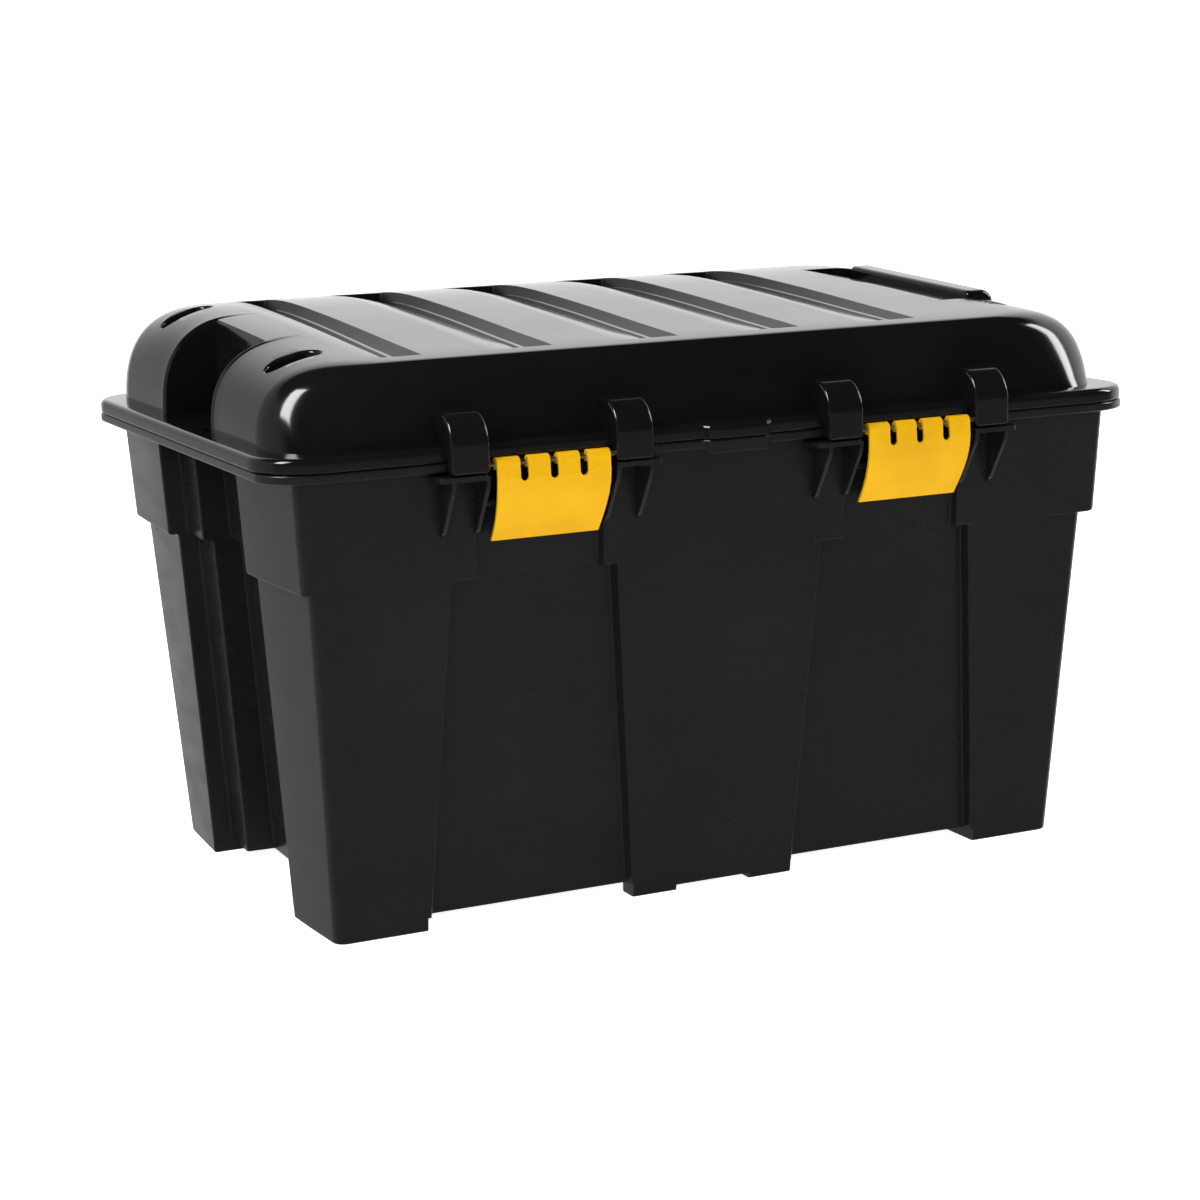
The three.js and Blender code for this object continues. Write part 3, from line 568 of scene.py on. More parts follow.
def shingle_columns():
    """The mesh lines along the lid: (x at the front, x at the back, share of the drop)."""
    straight = FLANGE_X - FLANGE_R
    tab = [(TAB_HALF + offset) * GRID_X / straight for offset in TAB_EDGE]
    columns = [(-GRID_X, -GRID_X, 0)]
    for ridge in RIDGES:
        foot = (ridge - RAMP_FRONT, ridge - RAMP_BACK)
        level = ridge - RIDGE_PITCH + BAND_LEVEL
        start = max(level, 4 - GRID_X)
        for step in range(BAND_STEPS):
            t = step / BAND_STEPS
            if foot[0] - start > BAND_STEPS:
                columns.append((mix(start, foot[0], t), mix(start, foot[1], t), t ** BAND_POWER))
        curve = list(RAMP_CURVE)
        if ridge - RAMP_FRONT < -tab[-1] < ridge:
            curve += [((ridge + x) / RAMP_FRONT, ramp_drop((ridge + x) / RAMP_FRONT)) for x in tab]
        for share, drop in sorted(curve, reverse=True):
            columns.append((ridge - share * RAMP_FRONT, ridge - share * RAMP_BACK, drop))
        if ridge < tab[0] < ridge + BAND_LEVEL:
            columns += [(x, x, 0) for x in tab]
    columns.append((GRID_X, GRID_X, 0))
    return columns


def ramp_drop(share):
    for (s0, drop0), (s1, drop1) in zip(RAMP_CURVE, RAMP_CURVE[1:]):
        if s1 <= share <= s0:
            return mix(drop0, drop1, (s0 - share) / (s0 - s1))
    return 0


# Across the lid: (offset from the border, share of the shingle's drop that is kept).
BORDER = 154
BORDER_CURVE = ((-4, 1), (-1.6, 1), (-1.2, 0.93), (-0.7, 0.2), (-0.2, 0.05), (1, 0), (3.5, 0))
SCOOP_LINES = (40, 48, 50.4, 51.4, 52, 52.4, 53.4, 54.6, 55.8, 57, 58, 70, 88, 104, 118, 132)


def cross_lines():
    """(y, share) of the mesh lines along the shingled top."""
    straight = BODY_Y - BODY_R
    half = [(0, 1), (14, 1), (28, 1)]
    half += [(y * GRID_Y / straight, 1) for y in SCOOP_LINES]
    half += [(BORDER + dy, share) for dy, share in BORDER_CURVE]
    return sorted(set(half + [(-y, share) for y, share in half]))


ARC_POINTS = 9
PROFILE_STEPS = 20
SCOOP_SHIFT = (45, 60)  # the lines beside the scoop, which move with its wall
FLANGE_EDGE = 4  # rounding of the flange's top edge
FLANGE_CURVE = ((0, 1), (0.08, 0.62), (0.3, 0.29), (0.62, 0.08), (1, 0))
FOOT_FILLET = 2.4
SCOOP_START = 0.2  # where the scoop leaves the lid's end curve
END_FULLNESS = 0.76  # 1 is an ellipse, less is boxier
SHOULDER_OUT, SHOULDER_DROP = 0.54, 15  # where the lid's face turns down: share of its run, drop
SHOULDER_SHARE = 0.6  # share of the mesh lines above that


def end_curve(t):
    """The rounded end of the lid: (share of the run out, share of the height)."""
    return math.sin(t * math.pi / 2) ** END_FULLNESS, math.cos(t * math.pi / 2) ** END_FULLNESS


def face_curve(t, slope, run, rise):
    """The front or back face: a tight shoulder, then a nearly upright wall."""
    bend = (SHOULDER_OUT, 1 - SHOULDER_DROP / rise)
    if t >= SHOULDER_SHARE:
        s = (t - SHOULDER_SHARE) / (1 - SHOULDER_SHARE)
        return mix(bend[0], 1, s), mix(bend[1], 0, s)
    s = t / SHOULDER_SHARE
    reach = SHOULDER_DROP / 2
    handle = (reach / run, 1 - reach * slope / rise)
    arrive = (bend[0] - 2.4 / run, bend[1] + 7.6 / rise)
    weights = ((1 - s) ** 3, 3 * (1 - s) ** 2 * s, 3 * (1 - s) * s * s, s ** 3)
    points = ((0, 1), handle, arrive, bend)
    return tuple(sum(w * p[i] for w, p in zip(weights, points)) for i in (0, 1))


def scoop_curve(t, run):
    """The same end where the scoop is cut into it: down a wall and out along the floor."""
    if t <= SCOOP_START:
        return end_curve(t)
    edge, top = end_curve(SCOOP_START)
    path = ((0.35, edge + 1 / run, top - 0.03), (0.4, edge + 1.5 / run, top - 0.09),
            (0.75, edge + 3.5 / run, 0.06), (0.8, edge + 4.2 / run, 0.02), (0.85, edge + 6 / run, 0),
            (1, 1, 0))
    before = (SCOOP_START, edge, top)
    for after in path:
        if t <= after[0] + 1e-6:
            s = (t - before[0]) / (after[0] - before[0])
            return mix(before[1], after[1], s), mix(before[2], after[2], s)
        before = after
    return 1, 0


# How far the lid's skin stands in or out beside the scoop: (distance from its edge, inset).
SCOOP_EDGE = ((0, 1.1), (0.4, 0.35), (1.4, 0), (2.6, -0.8), (3.8, -0.9), (5, -0.3), (6, 0))


def scoop_edge_inset(distance):
    for at, inset in SCOOP_EDGE:
        if abs(distance - at) < 0.1:
            return inset
    return 0


class Station:
    """One mesh line that runs down the outside of the lid."""

    def __init__(self, side, value, column, row, arc=None):
        self.side, self.value, self.arc = side, value, arc
        self.column, self.row = column, row

    def plan(self, half_x, half_y, corner, grow=0):
        straight_x, straight_y = half_x - corner, half_y - corner
        if self.arc is not None:
            sx, sy = ((1, -1), (1, 1), (-1, 1), (-1, -1))[self.side]
            angle = (self.side - 1 + self.arc) * math.pi / 2
            return sx * straight_x + corner * math.cos(angle), sy * straight_y + corner * math.sin(angle)
        if self.side in (0, 2):
            return self.value * straight_x, half_y * (self.side - 1)
        y = self.value * straight_y
        if grow and SCOOP_SHIFT[0] < abs(y) <= SCOOP_SHIFT[1]:
            y += math.copysign(grow, y)
        return half_x * (2 - self.side), y

    def endness(self):
        """1 on the ends, 0 on the front and back."""
        if self.arc is None:
            return self.side % 2
        return smooth(self.arc) if self.side % 2 == 0 else 1 - smooth(self.arc)


def stations(fronts, backs, rows):
    nx, ny = len(fronts), len(rows)
    around = []
    for side in range(4):
        if side % 2 == 0:
            order = range(nx) if side == 0 else range(nx - 1, -1, -1)
            row = 0 if side == 0 else ny - 1
            along = fronts if side == 0 else backs
            around += [Station(side, along[i] / GRID_X, i, row) for i in order]
            end = (order[-1], row)
        else:
            order = range(ny) if side == 1 else range(ny - 1, -1, -1)
            column = nx - 1 if side == 1 else 0
            around += [Station(side, rows[j] / GRID_Y, column, j) for j in order]
            end = (column, order[-1])
        around += [Station(side, 0, *end, arc=(k + 1) / (ARC_POINTS + 1)) for k in range(ARC_POINTS)]
    return around


def body_ring(around, t, inside):
    """The lid's body between its top edge (t = 0) and its foot (t = 1)."""
    ring = []
    foot_z = BODY_Z - inside
    for station in around:
        x0, y0 = station.plan(TOP_X, TOP_Y - inside / 3, TOP_R, inside)
        x1, y1 = station.plan(BODY_X - inside, BODY_Y - inside, BODY_R - inside / 2, inside)
        top = vault(y0) - inside
        rise = top - foot_z
        end = end_curve(t)
        if station.arc is None and station.side % 2 == 1:
            beside = abs(y1) - inside - SCOOP
            if beside < -0.1:
                end = scoop_curve(t, BODY_X - TOP_X)
            else:
                inset = scoop_edge_inset(beside) * min(1, 4 * t)
                end = (end[0] * (1 - inset / (BODY_X - TOP_X)), end[1] * (1 - inset / rise))
        face = face_curve(t, abs(vault_slope(y0)), BODY_Y - TOP_Y, rise)
        out, up = (mix(face[i], end[i], station.endness()) for i in (0, 1))
        ring.append((mix(x0, x1, out), mix(y0, y1, out), foot_z + rise * up))
    return ring


def foot_ring(around):
    """The foot of the lid's body, where a small fillet meets the flange."""
    plan = (BODY_X + FOOT_FILLET, BODY_Y + FOOT_FILLET, BODY_R + FOOT_FILLET)
    return [(*station.plan(*plan), BODY_Z) for station in around]


def flange_ring(around, z, inset=0, drop=0):
    ring = []
    for station in around:
        x, y = station.plan(FLANGE_X - inset, FLANGE_Y - inset, FLANGE_R - inset)
        share = tab_share(x, y)
        ring.append((x, y - TAB_OUT * share, z - drop * share))
    return ring


def flange_rings(around):
    """The flange with its rounded edges, up to the foot of the lid's body."""
    rings = [flange_ring(around, LID_Z + dz, inset) for dz, inset in edge_steps(EDGE)]
    top_edge = reversed(edge_steps(FLANGE_EDGE, FLANGE_CURVE))
    rings += [flange_ring(around, BODY_Z - dz, inset) for dz, inset in top_edge]
    return rings + [foot_ring(around)]


def shingled_top(columns, rows, inside):
    points = []
    for y, share in rows:
        t = min(1, max(0, toward_back(y)))
        depth = mix(SHINGLE_FRONT, SHINGLE_BACK, t) * share
        for front, back, drop in columns:
            shift = inside * 0.8 if abs(front) < GRID_X - 1 else 0
            z = vault(y) - drop * depth - inside
            points.append((mix(front, back, t) + shift, y * (1 + inside / 200), z))
    return points


def lid_solid(inside):
    """The lid as a closed body, or its hollow when inside is the wall's thickness."""
    columns, rows = shingle_columns(), cross_lines()
    fronts, backs = [column[0] for column in columns], [column[1] for column in columns]
    around = stations(fronts, backs, [y for y, _ in rows])
    if inside:
        foot = body_ring(around, 1, inside)
        rings = [[(x, y, LID_Z + dz) for x, y, _ in foot] for dz in (-3, 1)]
    else:
        rings = flange_rings(around)
    rings += [body_ring(around, step / PROFILE_STEPS, inside) for step in range(PROFILE_STEPS, -1, -1)]
    count, nx = len(around), len(columns)
    points = [p for ring in rings for p in ring]
    faces = skin_faces(count, len(points))
    top, grid = len(points) - count, len(points)
    points += shingled_top(columns, rows, inside)
    for j in range(len(rows) - 1):
        for i in range(nx - 1):
            a = grid + j * nx + i
            faces.append((a, a + 1, a + nx + 1, a + nx))
    for i, station in enumerate(around):
        other = around[(i + 1) % count]
        a = grid + station.row * nx + station.column
        b = grid + other.row * nx + other.column
        face = (top + i, top + (i + 1) % count, b, a)
        faces.append(face if a != b else face[:3])
    return mesh_object("lid_body", points, faces, None)


def end_height(x, y):
    """Height of the lid's rounded end."""
    over = (abs(x) - TOP_X) / (BODY_X - TOP_X)
    return BODY_Z + (vault(y) - BODY_Z) * (1 - over ** (2 / END_FULLNESS)) ** (END_FULLNESS / 2)


CAPSULE_WALL = 2.4
# How the edge of a capsule-shaped recess is rounded: (height above the skin, flare).
CAPSULE_LIP = ((-2.2, 0), (-1.3, 0.2), (-0.6, 0.7), (-0.1, 1.6), (0.6, 3), (12, 4))


def capsule_cutters(grow):
    tools = []
    for sx in SIDES:
        for sy in SIDES:
            x, y = sx * CAPSULE_X, sy * CAPSULE_Y
            floor = end_height(x, y) - CAPSULE_DEPTH - grow
            rings = [[(px, py, floor) for px, py in capsule(x, y, CAPSULE_HALF + grow, CAPSULE_R + grow)]]
            for rise, flare in CAPSULE_LIP:
                lip = capsule(x, y, CAPSULE_HALF + grow + flare, CAPSULE_R + grow + flare)
                rings.append([(px, py, end_height(max(TOP_X, abs(px)), py) + rise) for px, py in lip])
            tools.append(loft("capsule", rings))
    return tools


BAR_X, BAR_HALF = (252, 274), 84  # raised bar across the right end of the lid
BAR_TOP = (382.4, 390.8)  # its height at its front and back ends
BAR_R, BAR_END_R = 3.5, 9
BAR_STEP = 6
BAR_FOOT_Z = 352
DIP_X, DIP_HALF = 208, 92  # the last band goes down to the bar's foot between the capsules
DIP_START, DIP_REACH = 0.6, 40  # how far above the lid the cut starts and reaches


def bar_section(y, inset):
    """Section of the raised bar, square to its length."""
    left, right = BAR_X[0] + inset, BAR_X[1] - inset
    top = mix(*BAR_TOP, (y + BAR_HALF) / (2 * BAR_HALF)) - inset
    outline = [(left - 1.5, BAR_FOOT_Z)]
    outline += reversed(arc(left + BAR_R, top - BAR_R, BAR_R, 90, 176, 6))
    outline += reversed(arc(right - BAR_END_R, top - BAR_END_R, BAR_END_R, 0, 90, 10))
    outline.append((right, BAR_FOOT_Z))
    return [(x, y, z) for x, z in outline]


def end_bar():
    reach = BAR_HALF - BAR_R
    rings = [(dy - BAR_HALF, inset) for dy, inset in edge_steps(BAR_R)]
    steps = int(2 * reach / BAR_STEP)
    rings += [(mix(-reach, reach, i / steps), 0) for i in range(1, steps)]
    rings += [(BAR_HALF - dy, inset) for dy, inset in reversed(edge_steps(BAR_R))]
    return loft("end_bar", [bar_section(y, inset) for y, inset in rings])


def dip_section(y, grow):
    """Section of what is taken from the lid's top in front of the bar."""
    skin, above = vault(y) - grow, vault(y) - grow + DIP_REACH
    depth = mix(SHINGLE_FRONT, SHINGLE_BACK, toward_back(y)) + DIP_START
    curve = []
    for t in (0, 0.2, 0.4, 0.6, 0.8, 1):
        curve.append((mix(DIP_X, BAR_X[0], t), skin + DIP_START - depth * t ** BAND_POWER))
    end = BAR_X[0] + 8
    outline = [(DIP_X, above), *curve, (end, curve[-1][1]), (end, above)]
    return [(x, y, z) for x, z in reversed(outline)]


def dip(grow):
    steps = 2 * DIP_HALF // BAR_STEP
    reach = DIP_HALF + grow
    return loft("dip", [dip_section(mix(-reach, reach, i / steps), grow) for i in range(steps + 1)])


def lid_shell(material):
    lid = take(cut(lid_solid(0), dip(0)), end_bar(), "UNION")
    hollow = cut(lid_solid(LID_WALL), dip(LID_WALL), *capsule_cutters(CAPSULE_WALL))
    cut(lid, *capsule_cutters(0), hollow, *tie_slots(LID_Z, BODY_Z))
    lid.name = "lid"
    only_material(lid, material)
    return placed(lid, "lid", "lid_shell")


def strap(x0, x1):
    """One rounded strap of the lid, from its front face down beside the latch."""
    outline = [(FRONT_Y, STRAP_FOOT), (-FLANGE_Y - 0.4, STRAP_FOOT), (-FLANGE_Y - 0.4, LID_Z + 2)]
    outline += [(-BODY_Y + 5, LID_Z + 2), (-BODY_Y + 9, STRAP_TOP)]
    outline += arc(FRONT_Y + STRAP_R, STRAP_TOP - STRAP_R, STRAP_R, 90, 180, 12)
    return prism("strap", list(reversed(outline)), x0, x1, "x")


def lid_straps(name, centre, material):
    parts = []
    for side in SIDES:
        ends = sorted((centre + side * STRAP_IN, centre + side * STRAP_OUT))
        parts.append(rounded_edges(strap(*ends), STRAP_ROUNDING, 4))
    return placed(joined(name, parts, material), "lid")


def lid_hinge(name, centre, material):
    ends = (centre - LID_KNUCKLE, centre + LID_KNUCKLE)
    web = [(HINGE_Y + 2, HINGE_Z + 5.2), (FLANGE_Y - 1, BODY_Z), (FLANGE_Y - 4, BODY_Z),
           (FLANGE_Y - 4, LID_Z + 0.6), (HINGE_Y + 1, HINGE_Z + 1)]
    parts = [rounded_edges(prism("web", web, *ends, "x"), 0.6, 2), knuckle(*ends)]
    return placed(joined(name, parts, material), "lid")


# ---- latches ----
LATCH_T = 2.6
LATCH_TOP_W, LATCH_FOOT_W = 77.5, 74
LATCH_FOOT_Z, LATCH_TAPER = 258, 42  # it narrows towards its foot over this height
# Outside of the latch from its knuckle to its foot: (y, z).
LATCH_FACE = ((-214.2, 306), (-214.6, 300), (-213.9, 293), (-211.7, 285), (-208, 277), (-203.2, 269),
              (-198.6, 262.5), (-196, 259))
KNUCKLE_R = 4.2
NOTCH_R, NOTCH_PITCH, NOTCH_Z = 2.75, 20.3, 301
HOOK = ((-208.6, 278.6), (-208.6, 281.6), (-205, 281.6), (-204, 280.4), (-204, 279.4), (-205, 278.6))
HOOK_IN = 9  # how far its ends are inside the latch's


def latch_outline():
    """Section of the latch: knuckle, nearly upright face, then a paddle that leans in."""
    inner = [(y + LATCH_T, z + 0.4) for y, z in LATCH_FACE]
    crown = arc(LATCH_PIN_Y, LATCH_PIN_Z, KNUCKLE_R, 195, -60, 18)
    return [*reversed(LATCH_FACE), *crown, *inner]


def latch(name, node, centre, body, material):
    half = LATCH_TOP_W / 2
    plate = prism(name, latch_outline(), -half, half, "x")
    for vertex in plate.data.vertices:
        share = smooth((vertex.co.z / MM - LATCH_FOOT_Z) / LATCH_TAPER)
        vertex.co.x *= mix(LATCH_FOOT_W, LATCH_TOP_W, share) / LATCH_TOP_W
    for place in (-1, 0, 1):
        x = place * NOTCH_PITCH
        notch = arc(x, NOTCH_Z, NOTCH_R, 180, 360, 12) + [(x + NOTCH_R, 330), (x - NOTCH_R, 330)]
        cut(plate, prism("notch", notch, -230, -190, "y"))
    bake(rounded_edges(plate, 0.7, 3))
    hook = prism("hook", HOOK, HOOK_IN - half, half - HOOK_IN, "x")
    whole = joined(name, [plate, hook], material)
    whole.data.transform(Matrix.Translation((centre * MM, 0, 0)))
    return placed(whole, body, node)


# ---- pins, axle and wheels ----
BORE_R = 4.1  # bore of the hubs, caps and ribs on the axle
TYRE_INNER, TREAD_EDGE, GROOVE, GROOVE_HALF = 20.4, 3, 0.9, 1
HUB_BOSS, HUB_WEB, HUB_LIP = 9, 4, 4
SPOKES, WINDOW_OUT, WINDOW_IN = 5, 14.4, 11


def round_part(node, index):
    """Centre, radius and half length of a round CAD node whose axis has this index."""
    low, high = cad_box(node)
    return (low + high) / 2, (high - low)[2] / 2, (high - low)[index] / 2


def rod(name, node, body, axis, material):
    """A pin with rounded ends in a CAD pin's place."""
    centre, radius, half = round_part(node, "xyz".index(axis))
    edge = radius * 0.3
    side = [(radius, half - edge), (radius - 0.3 * edge, half - 0.3 * edge)]
    side += [(radius - edge, half), (0.01, half)]
    profile = [(r, -o) for r, o in reversed(side)] + side
    return placed(lathe(name, profile, centre, axis, material, 32), body, node)


def tyre(name, node, body, material):
    centre, radius, half = round_part(node, 1)
    flat = radius - TREAD_EDGE
    tread = [(flat, -half)] + arc(flat, TREAD_EDGE - half, TREAD_EDGE, -70, 0, 5)
    for middle in (-half / 3, half / 3):
        low, high = middle - GROOVE_HALF, middle + GROOVE_HALF
        tread += [(radius, low), (radius - GROOVE, low + 0.4), (radius - GROOVE, high - 0.4), (radius, high)]
    tread += arc(flat, half - TREAD_EDGE, TREAD_EDGE, 0, 70, 5) + [(flat, half)]
    profile = [(TYRE_INNER, -half), *tread, (TYRE_INNER, half)]
    return placed(lathe(name, profile, centre, "y", material, 72), body, node)


def hub(name, node, body, material):
    centre, radius, half = round_part(node, 1)
    boss, web, lip = HUB_BOSS, HUB_WEB, HUB_LIP
    side = [(BORE_R, half), (boss - 0.8, half), (boss, half - 0.8), (boss + 0.6, web + 1), (boss + 2, web)]
    side += [(radius - lip - 2, web), (radius - lip - 0.5, web + 1), (radius - lip, half - 3.8)]
    side += [(radius - lip + 0.8, half - 3), (radius - 0.6, half - 3), (radius, half - 3.6)]
    obj = lathe(name, [(r, -o) for r, o in side] + side[::-1], centre, "y", material, 72)
    for spoke in range(SPOKES):
        outline = [(centre.x + x, centre.z + z) for x, z in spoke_window(spoke * 360 / SPOKES)]
        cut(obj, prism("window", outline, centre.y - half, centre.y + half, "y"))
    only_material(obj, material)
    return placed(obj, body, node)


def spoke_window(angle):
    """A rounded window in the hub's web, between two spokes."""
    outer = arc(0, 0, WINDOW_OUT, angle - 22, angle + 22, 8)
    return outer + arc(0, 0, WINDOW_IN, angle + 14, angle - 14, 6)


def axle_cap(name, node, material):
    centre, radius, half = round_part(node, 1)
    profile = [(BORE_R, -half), (radius - 0.8, -half), (radius, 0.8 - half), (radius, half - 1.2),
               (radius - 1.2, half - 0.2), (5, half), (BORE_R, half - 0.6)]
    if centre.y < 0:
        profile = [(r, -o) for r, o in reversed(profile)]
    return placed(lathe(name, profile, centre, "y", material, 48), "tub", node)


def wheel_ribs(name, material):
    """The ribs that hold the axle, one on each side of each wheel."""
    axle, _, _ = round_part("wheel_axle", 1)
    parts = []
    for node in ("wheel_hub_front", "wheel_hub_rear"):
        centre, _, half = round_part(node, 1)
        for y in (centre.y - half - 3.5, centre.y + half + 3.5):
            back = [(WELL_X - 1, axle.z + 15), (WELL_X - 1, axle.z - 15)]
            rib = prism("rib", back + arc(axle.x, axle.z, 9, -90, 90, 14), y - 2, y + 2, "y")
            bore = prism("bore", arc(axle.x, axle.z, BORE_R, 0, 345, 23), y - 3, y + 3, "y")
            parts.append(rounded_edges(cut(rib, bore), 0.6, 2, 40))
    return placed(joined(name, parts, material), "tub")


# ---- materials ----
PATCHY = (0.3, 0.7)  # where most values of a noise lie


class Nodes:
    """A small helper for building the node trees of the materials and of the sky."""

    def __init__(self, owner, end, coordinates):
        owner.use_nodes = True
        self.owner, self.tree = owner, owner.node_tree
        self.end = self.tree.nodes[end]
        self.coordinates = self.add("ShaderNodeTexCoord").outputs[coordinates]

    def add(self, kind, inputs=None, **settings):
        node = self.tree.nodes.new(kind)
        for key, value in settings.items():
            setattr(node, key, value)
        for key, value in (inputs or {}).items():
            self.set(node.inputs[key], value)
        return node

    def set(self, socket, value):
        if isinstance(value, bpy.types.NodeSocket):
            self.tree.links.new(value, socket)
        else:
            socket.default_value = value

    def parts(self):
        return self.add("ShaderNodeSeparateXYZ", {"Vector": self.coordinates}).outputs

    def noise(self, scale, detail=3, roughness=0.5, stretch=(1, 1, 1)):
        mapped = self.add("ShaderNodeMapping", {"Vector": self.coordinates, "Scale": stretch})
        node = self.add("ShaderNodeTexNoise", {"Vector": mapped.outputs[0], "Scale": scale,
                                               "Detail": detail, "Roughness": roughness})
        return node.outputs["Fac"]

    def cells(self, scale):
        node = self.add("ShaderNodeTexVoronoi", {"Vector": self.coordinates, "Scale": scale})
        return node.outputs["Distance"]

    def spread(self, value, to_low=0, to_high=1, source=PATCHY, curve="LINEAR"):
        inputs = {"Value": value, "From Min": source[0], "From Max": source[1],
                  "To Min": to_low, "To Max": to_high}
        return self.add("ShaderNodeMapRange", inputs, interpolation_type=curve).outputs[0]

    def blend(self, factor, first, second):
        node = self.add("ShaderNodeMix", {"Factor": factor, 6: first, 7: second}, data_type="RGBA")
        return node.outputs[2]

    def calculate(self, operation, *values):
        return self.add("ShaderNodeMath", dict(enumerate(values)), operation=operation).outputs[0]

    def bump(self, height, distance, strength=1, normal=None):
        inputs = {"Height": height, "Distance": distance * MM, "Strength": strength}
        if normal:
            inputs["Normal"] = normal
        return self.add("ShaderNodeBump", inputs).outputs[0]

    def finish(self, **inputs):
        names = {"color": "Base Color", "roughness": "Roughness", "metallic": "Metallic",
                 "normal": "Normal", "specular": "Specular IOR Level"}
        for key, value in inputs.items():
            self.set(self.end.inputs[names[key]], value)
        return self.owner


def material_nodes(name):
    return Nodes(bpy.data.materials.new(name), "Principled BSDF", "Object")


def shade(value):
    return (value, value, value * 1.03, 1)


def tub_plastic():
    """Semi-gloss black moulding with a faint fine grain and slow waves in its large faces."""
    n = material_nodes("tub_plastic")
    color = n.blend(n.spread(n.noise(9, 4, 0.6)), shade(0.006), shade(0.0085))
    flow = n.noise(30, 3, 0.5, (0.6, 0.6, 2.2))
    grain = n.bump(n.cells(900), 0.02, 0.25)
    waves = n.bump(n.noise(14, 2), 0.5, 0.12, grain)
    return n.finish(color=color, roughness=n.spread(flow, 0.2, 0.3), normal=waves, specular=0.42)


def ramp_mask(n):
    """1 on the ramps of the shingled top, 0 elsewhere and on each ramp's ledge."""
    x, y, _ = n.parts()
    past = n.calculate("WRAP", n.calculate("SUBTRACT", x, RIDGES[0] * MM), RIDGE_PITCH * MM, 0)
    left = n.calculate("SUBTRACT", RIDGE_PITCH * MM, past)
    length = n.spread(y, RAMP_FRONT * MM, RAMP_BACK * MM, (-BORDER * MM, BORDER * MM))
    share = n.calculate("DIVIDE", left, length)
    on_ramp = n.calculate("LESS_THAN", share, 1)
    ledge = n.calculate("COMPARE", share, (LEDGE_FOOT + LEDGE_TOP) / 2, (LEDGE_FOOT - LEDGE_TOP) / 2)
    middle, half = (RIDGES[-1] - GRID_X) / 2 * MM, (RIDGES[-1] + GRID_X) / 2 * MM
    inside_x = n.calculate("COMPARE", x, middle, half)
    inside_y = n.calculate("COMPARE", y, 0, BORDER * MM)
    mask = n.calculate("MULTIPLY", on_ramp, n.calculate("SUBTRACT", 1, ledge))
    return n.calculate("MULTIPLY", mask, n.calculate("MULTIPLY", inside_x, inside_y))


def lid_plastic():
    """Gloss black moulding with slow waves; the ramps of its top carry a fine grain."""
    n = material_nodes("lid_plastic")
    color = n.blend(n.spread(n.noise(7, 4, 0.6)), shade(0.0028), shade(0.0045))
    ramps = ramp_mask(n)
    gloss = n.spread(n.noise(22, 4, 0.6), 0.09, 0.14)
    roughness = n.spread(ramps, gloss, 0.5, (0, 1))
    grain = n.bump(n.cells(1300), 0.01, n.spread(ramps, 0.2, 1, (0, 1)))
    waves = n.bump(n.noise(11, 2), 0.4, 0.15, grain)
    return n.finish(color=color, roughness=roughness, normal=waves, specular=0.5)


def latch_plastic():
    """Satin yellow moulding with faint upright flow lines."""
    n = material_nodes("latch_plastic")
    color = n.blend(n.spread(n.noise(25, 3, 0.5)), (0.50, 0.26, 0.0015, 1), (0.57, 0.31, 0.002, 1))
    lines = n.noise(160, 2, 0.4, (1, 1, 0.05))
    ribs = n.bump(lines, 0.08, 0.35)
    grain = n.bump(n.cells(1100), 0.02, 0.3, ribs)
    return n.finish(color=color, roughness=n.spread(lines, 0.26, 0.38), normal=grain, specular=0.12)


def steel():
    """Drawn wire: bright, with fine streaks."""
    n = material_nodes("steel")
    streaks = n.noise(900, 2, 0.5)
    color = n.blend(n.spread(n.noise(60)), (0.46, 0.46, 0.47, 1), (0.62, 0.62, 0.63, 1))
    return n.finish(color=color, metallic=1, roughness=n.spread(streaks, 0.22, 0.4, (0.2, 0.8)),
                    normal=n.bump(streaks, 0.03, 0.3))


def hub_plastic():
    n = material_nodes("hub_plastic")
    color = n.blend(n.spread(n.noise(40)), shade(0.018), shade(0.028))
    return n.finish(color=color, roughness=n.spread(n.noise(120), 0.42, 0.55),
                    normal=n.bump(n.cells(1400), 0.03, 0.4), specular=0.4)


def tyre_rubber():
    n = material_nodes("tyre_rubber")
    color = n.blend(n.spread(n.noise(50, 4)), shade(0.012), shade(0.03))
    return n.finish(color=color, roughness=n.spread(n.noise(200), 0.7, 0.88),
                    normal=n.bump(n.noise(1500, 4), 0.06, 0.5), specular=0.3)


# ---- stage ----
# What the glossy faces reflect: the dark room, the floor in front and the backdrop behind.
ROOM, FRONT_FLOOR, BACKDROP_LEFT, BACKDROP = 0.012, 0.17, 0.35, 1.15
FLOOR_HALF, FLOOR_GLOW, WALL_GLOW = 30000, 0.92, 1.2


def grey(value):
    return (value, value, value, 1)


def pale(name, glow):
    n = material_nodes(name)
    n.set(n.end.inputs["Emission Color"], grey(1))
    n.set(n.end.inputs["Emission Strength"], glow)
    return n.finish(color=n.blend(n.noise(2, 3), grey(0.86), grey(0.88)), roughness=0.9, specular=0.1)


def floor():
    """A pale floor and, far away, a pale wall all round that only the camera sees."""
    half = FLOOR_HALF
    corners = [(-half, -half, 0), (half, -half, 0), (half, half, 0), (-half, half, 0)]
    sheet = mesh_object("floor", corners, [(0, 1, 2, 3)], pale("floor", FLOOR_GLOW))
    sheet.visible_glossy = False
    round_wall = arc(0, 0, half * 0.9, 0, 360, 64)[:-1]
    rings = [[(x, y, z) for x, y in round_wall] for z in (-100, half)]
    wall = loft("backdrop", rings, pale("backdrop", WALL_GLOW))
    for rays in ("glossy", "diffuse", "transmission", "shadow"):
        setattr(wall, f"visible_{rays}", False)


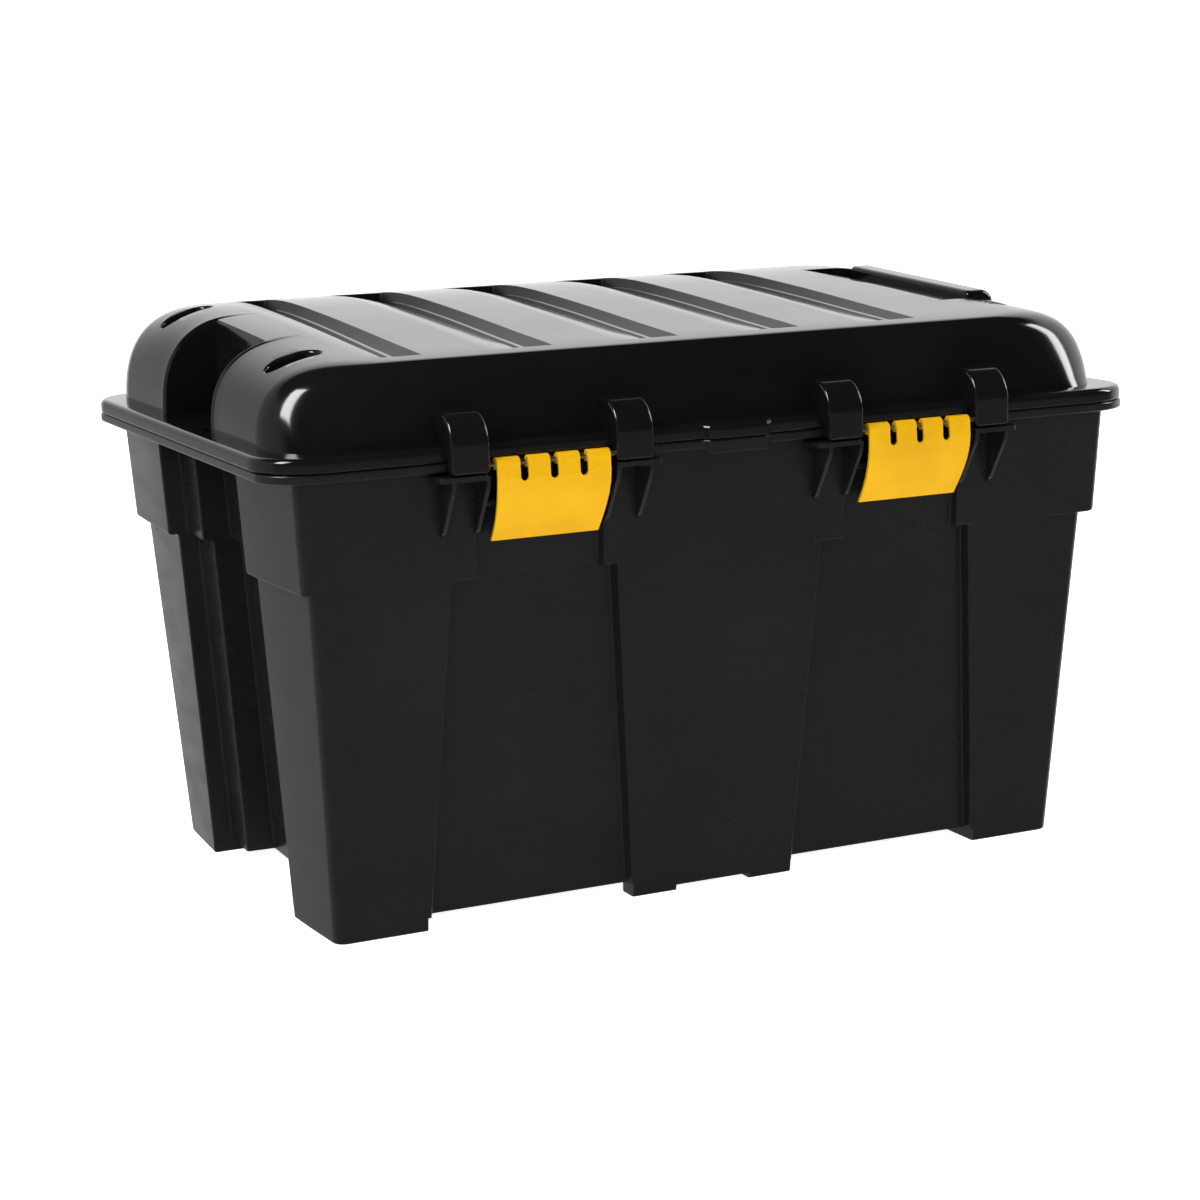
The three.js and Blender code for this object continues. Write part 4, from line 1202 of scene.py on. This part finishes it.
def sky():
    """A bright backdrop behind the trunk up to 40 degrees, a grey floor in front, and dark elsewhere."""
    world = bpy.data.worlds.new("studio")
    bpy.context.scene.world = world
    n = Nodes(world, "Background", "Generated")
    x, y, z = n.parts()

    def turn(value, source, first, second):
        return n.blend(n.spread(value, 0, 1, source, "SMOOTHSTEP"), first, second)

    front = turn(z, (0.02, -0.1), grey(ROOM), grey(FRONT_FLOOR))
    backdrop = turn(x, (-0.4, 0.3), grey(BACKDROP_LEFT), grey(BACKDROP))
    behind = turn(y, (-0.3, 0.1), front, backdrop)
    n.set(n.end.inputs["Color"], turn(z, (0.56, 0.72), behind, grey(ROOM)))
    n.set(n.end.inputs["Strength"], 1)


def softbox(name, location, target, size, power):
    light = bpy.data.lights.new(name, "AREA")
    light.shape = "RECTANGLE"
    light.size, light.size_y = (s * MM for s in size)
    light.energy = power
    obj = bpy.data.objects.new(name, light)
    bpy.context.collection.objects.link(obj)
    obj.location = Vector(location) * MM
    toward = Vector(target) - Vector(location)
    obj.rotation_euler = toward.to_track_quat("-Z", "Y").to_euler()
    return obj


def lights():
    middle = (0, 0, 200)
    softbox("left", (-1900, -450, 2000), middle, (700, 1300), 50)
    softbox("right", (2300, -700, 1500), middle, (500, 1300), 25)
    top = softbox("top", (0, 300, 3000), middle, (2500, 2500), 60)
    fill = softbox("front", (-700, -3000, 1300), middle, (2500, 1800), 50)
    for light in (top, fill):
        light.visible_glossy = False


AZIMUTH, ELEVATION, ROLL, DISTANCE = -24.79, 11.2, -1.554, 2000
TARGET = Vector((-5.3, 0, 170.9))
SENSOR, LENS = 36, 83.5


def camera():
    azimuth, elevation, roll = (math.radians(a) for a in (AZIMUTH, ELEVATION, ROLL))
    back = Vector((math.sin(azimuth) * math.cos(elevation), -math.cos(azimuth) * math.cos(elevation),
                   math.sin(elevation)))
    right = Vector((math.cos(azimuth), math.sin(azimuth), 0))
    up = back.cross(right)
    turned = right * math.cos(roll) + up * math.sin(roll)
    up = up * math.cos(roll) - right * math.sin(roll)
    data = bpy.data.cameras.new("camera")
    data.sensor_width, data.lens = SENSOR, LENS
    data.clip_end = 100
    obj = bpy.data.objects.new("camera", data)
    bpy.context.collection.objects.link(obj)
    place = (TARGET + back * DISTANCE) * MM
    obj.matrix_world = Matrix.Translation(place) @ Matrix((turned, up, back)).transposed().to_4x4()
    bpy.context.scene.camera = obj
    bpy.context.scene.view_settings.view_transform = "Standard"


# ---- the trunk ----
def build():
    black, gloss, yellow = tub_plastic(), lid_plastic(), latch_plastic()
    metal, hub_black, rubber = steel(), hub_plastic(), tyre_rubber()
    base_tub(black)
    lid_shell(gloss)
    for label, side in (("left", -1), ("right", 1)):
        centre = side * LATCH_X
        catch_bracket(f"catch_bracket_{label}", centre, black)
        tub_hinge(f"tub_hinge_{label}", centre, black)
        lid_straps(f"lid_straps_{label}", centre, gloss)
        lid_hinge(f"lid_hinge_{label}", centre, gloss)
        latch(f"paddle_{label}", f"latch_{label}", centre, f"latch_{label[0]}", yellow)
        rod(f"latch_rod_{label}", f"latch_pin_{label}", "lid", "x", metal)
        rod(f"hinge_rod_{label}", f"hinge_pin_{label}", "tub", "x", metal)
    for label in ("front", "rear"):
        body = f"wheel_{label[0]}"
        hub(f"hub_{label}", f"wheel_hub_{label}", body, hub_black)
        tyre(f"tyre_{label}", f"wheel_tyre_{label}", body, rubber)
        axle_cap(f"cap_{label}", f"axle_cap_{label}", metal)
    rod("axle", "wheel_axle", "tub", "y", metal)
    wheel_ribs("wheel_ribs", black)


build()
floor()
sky()
lights()
camera()
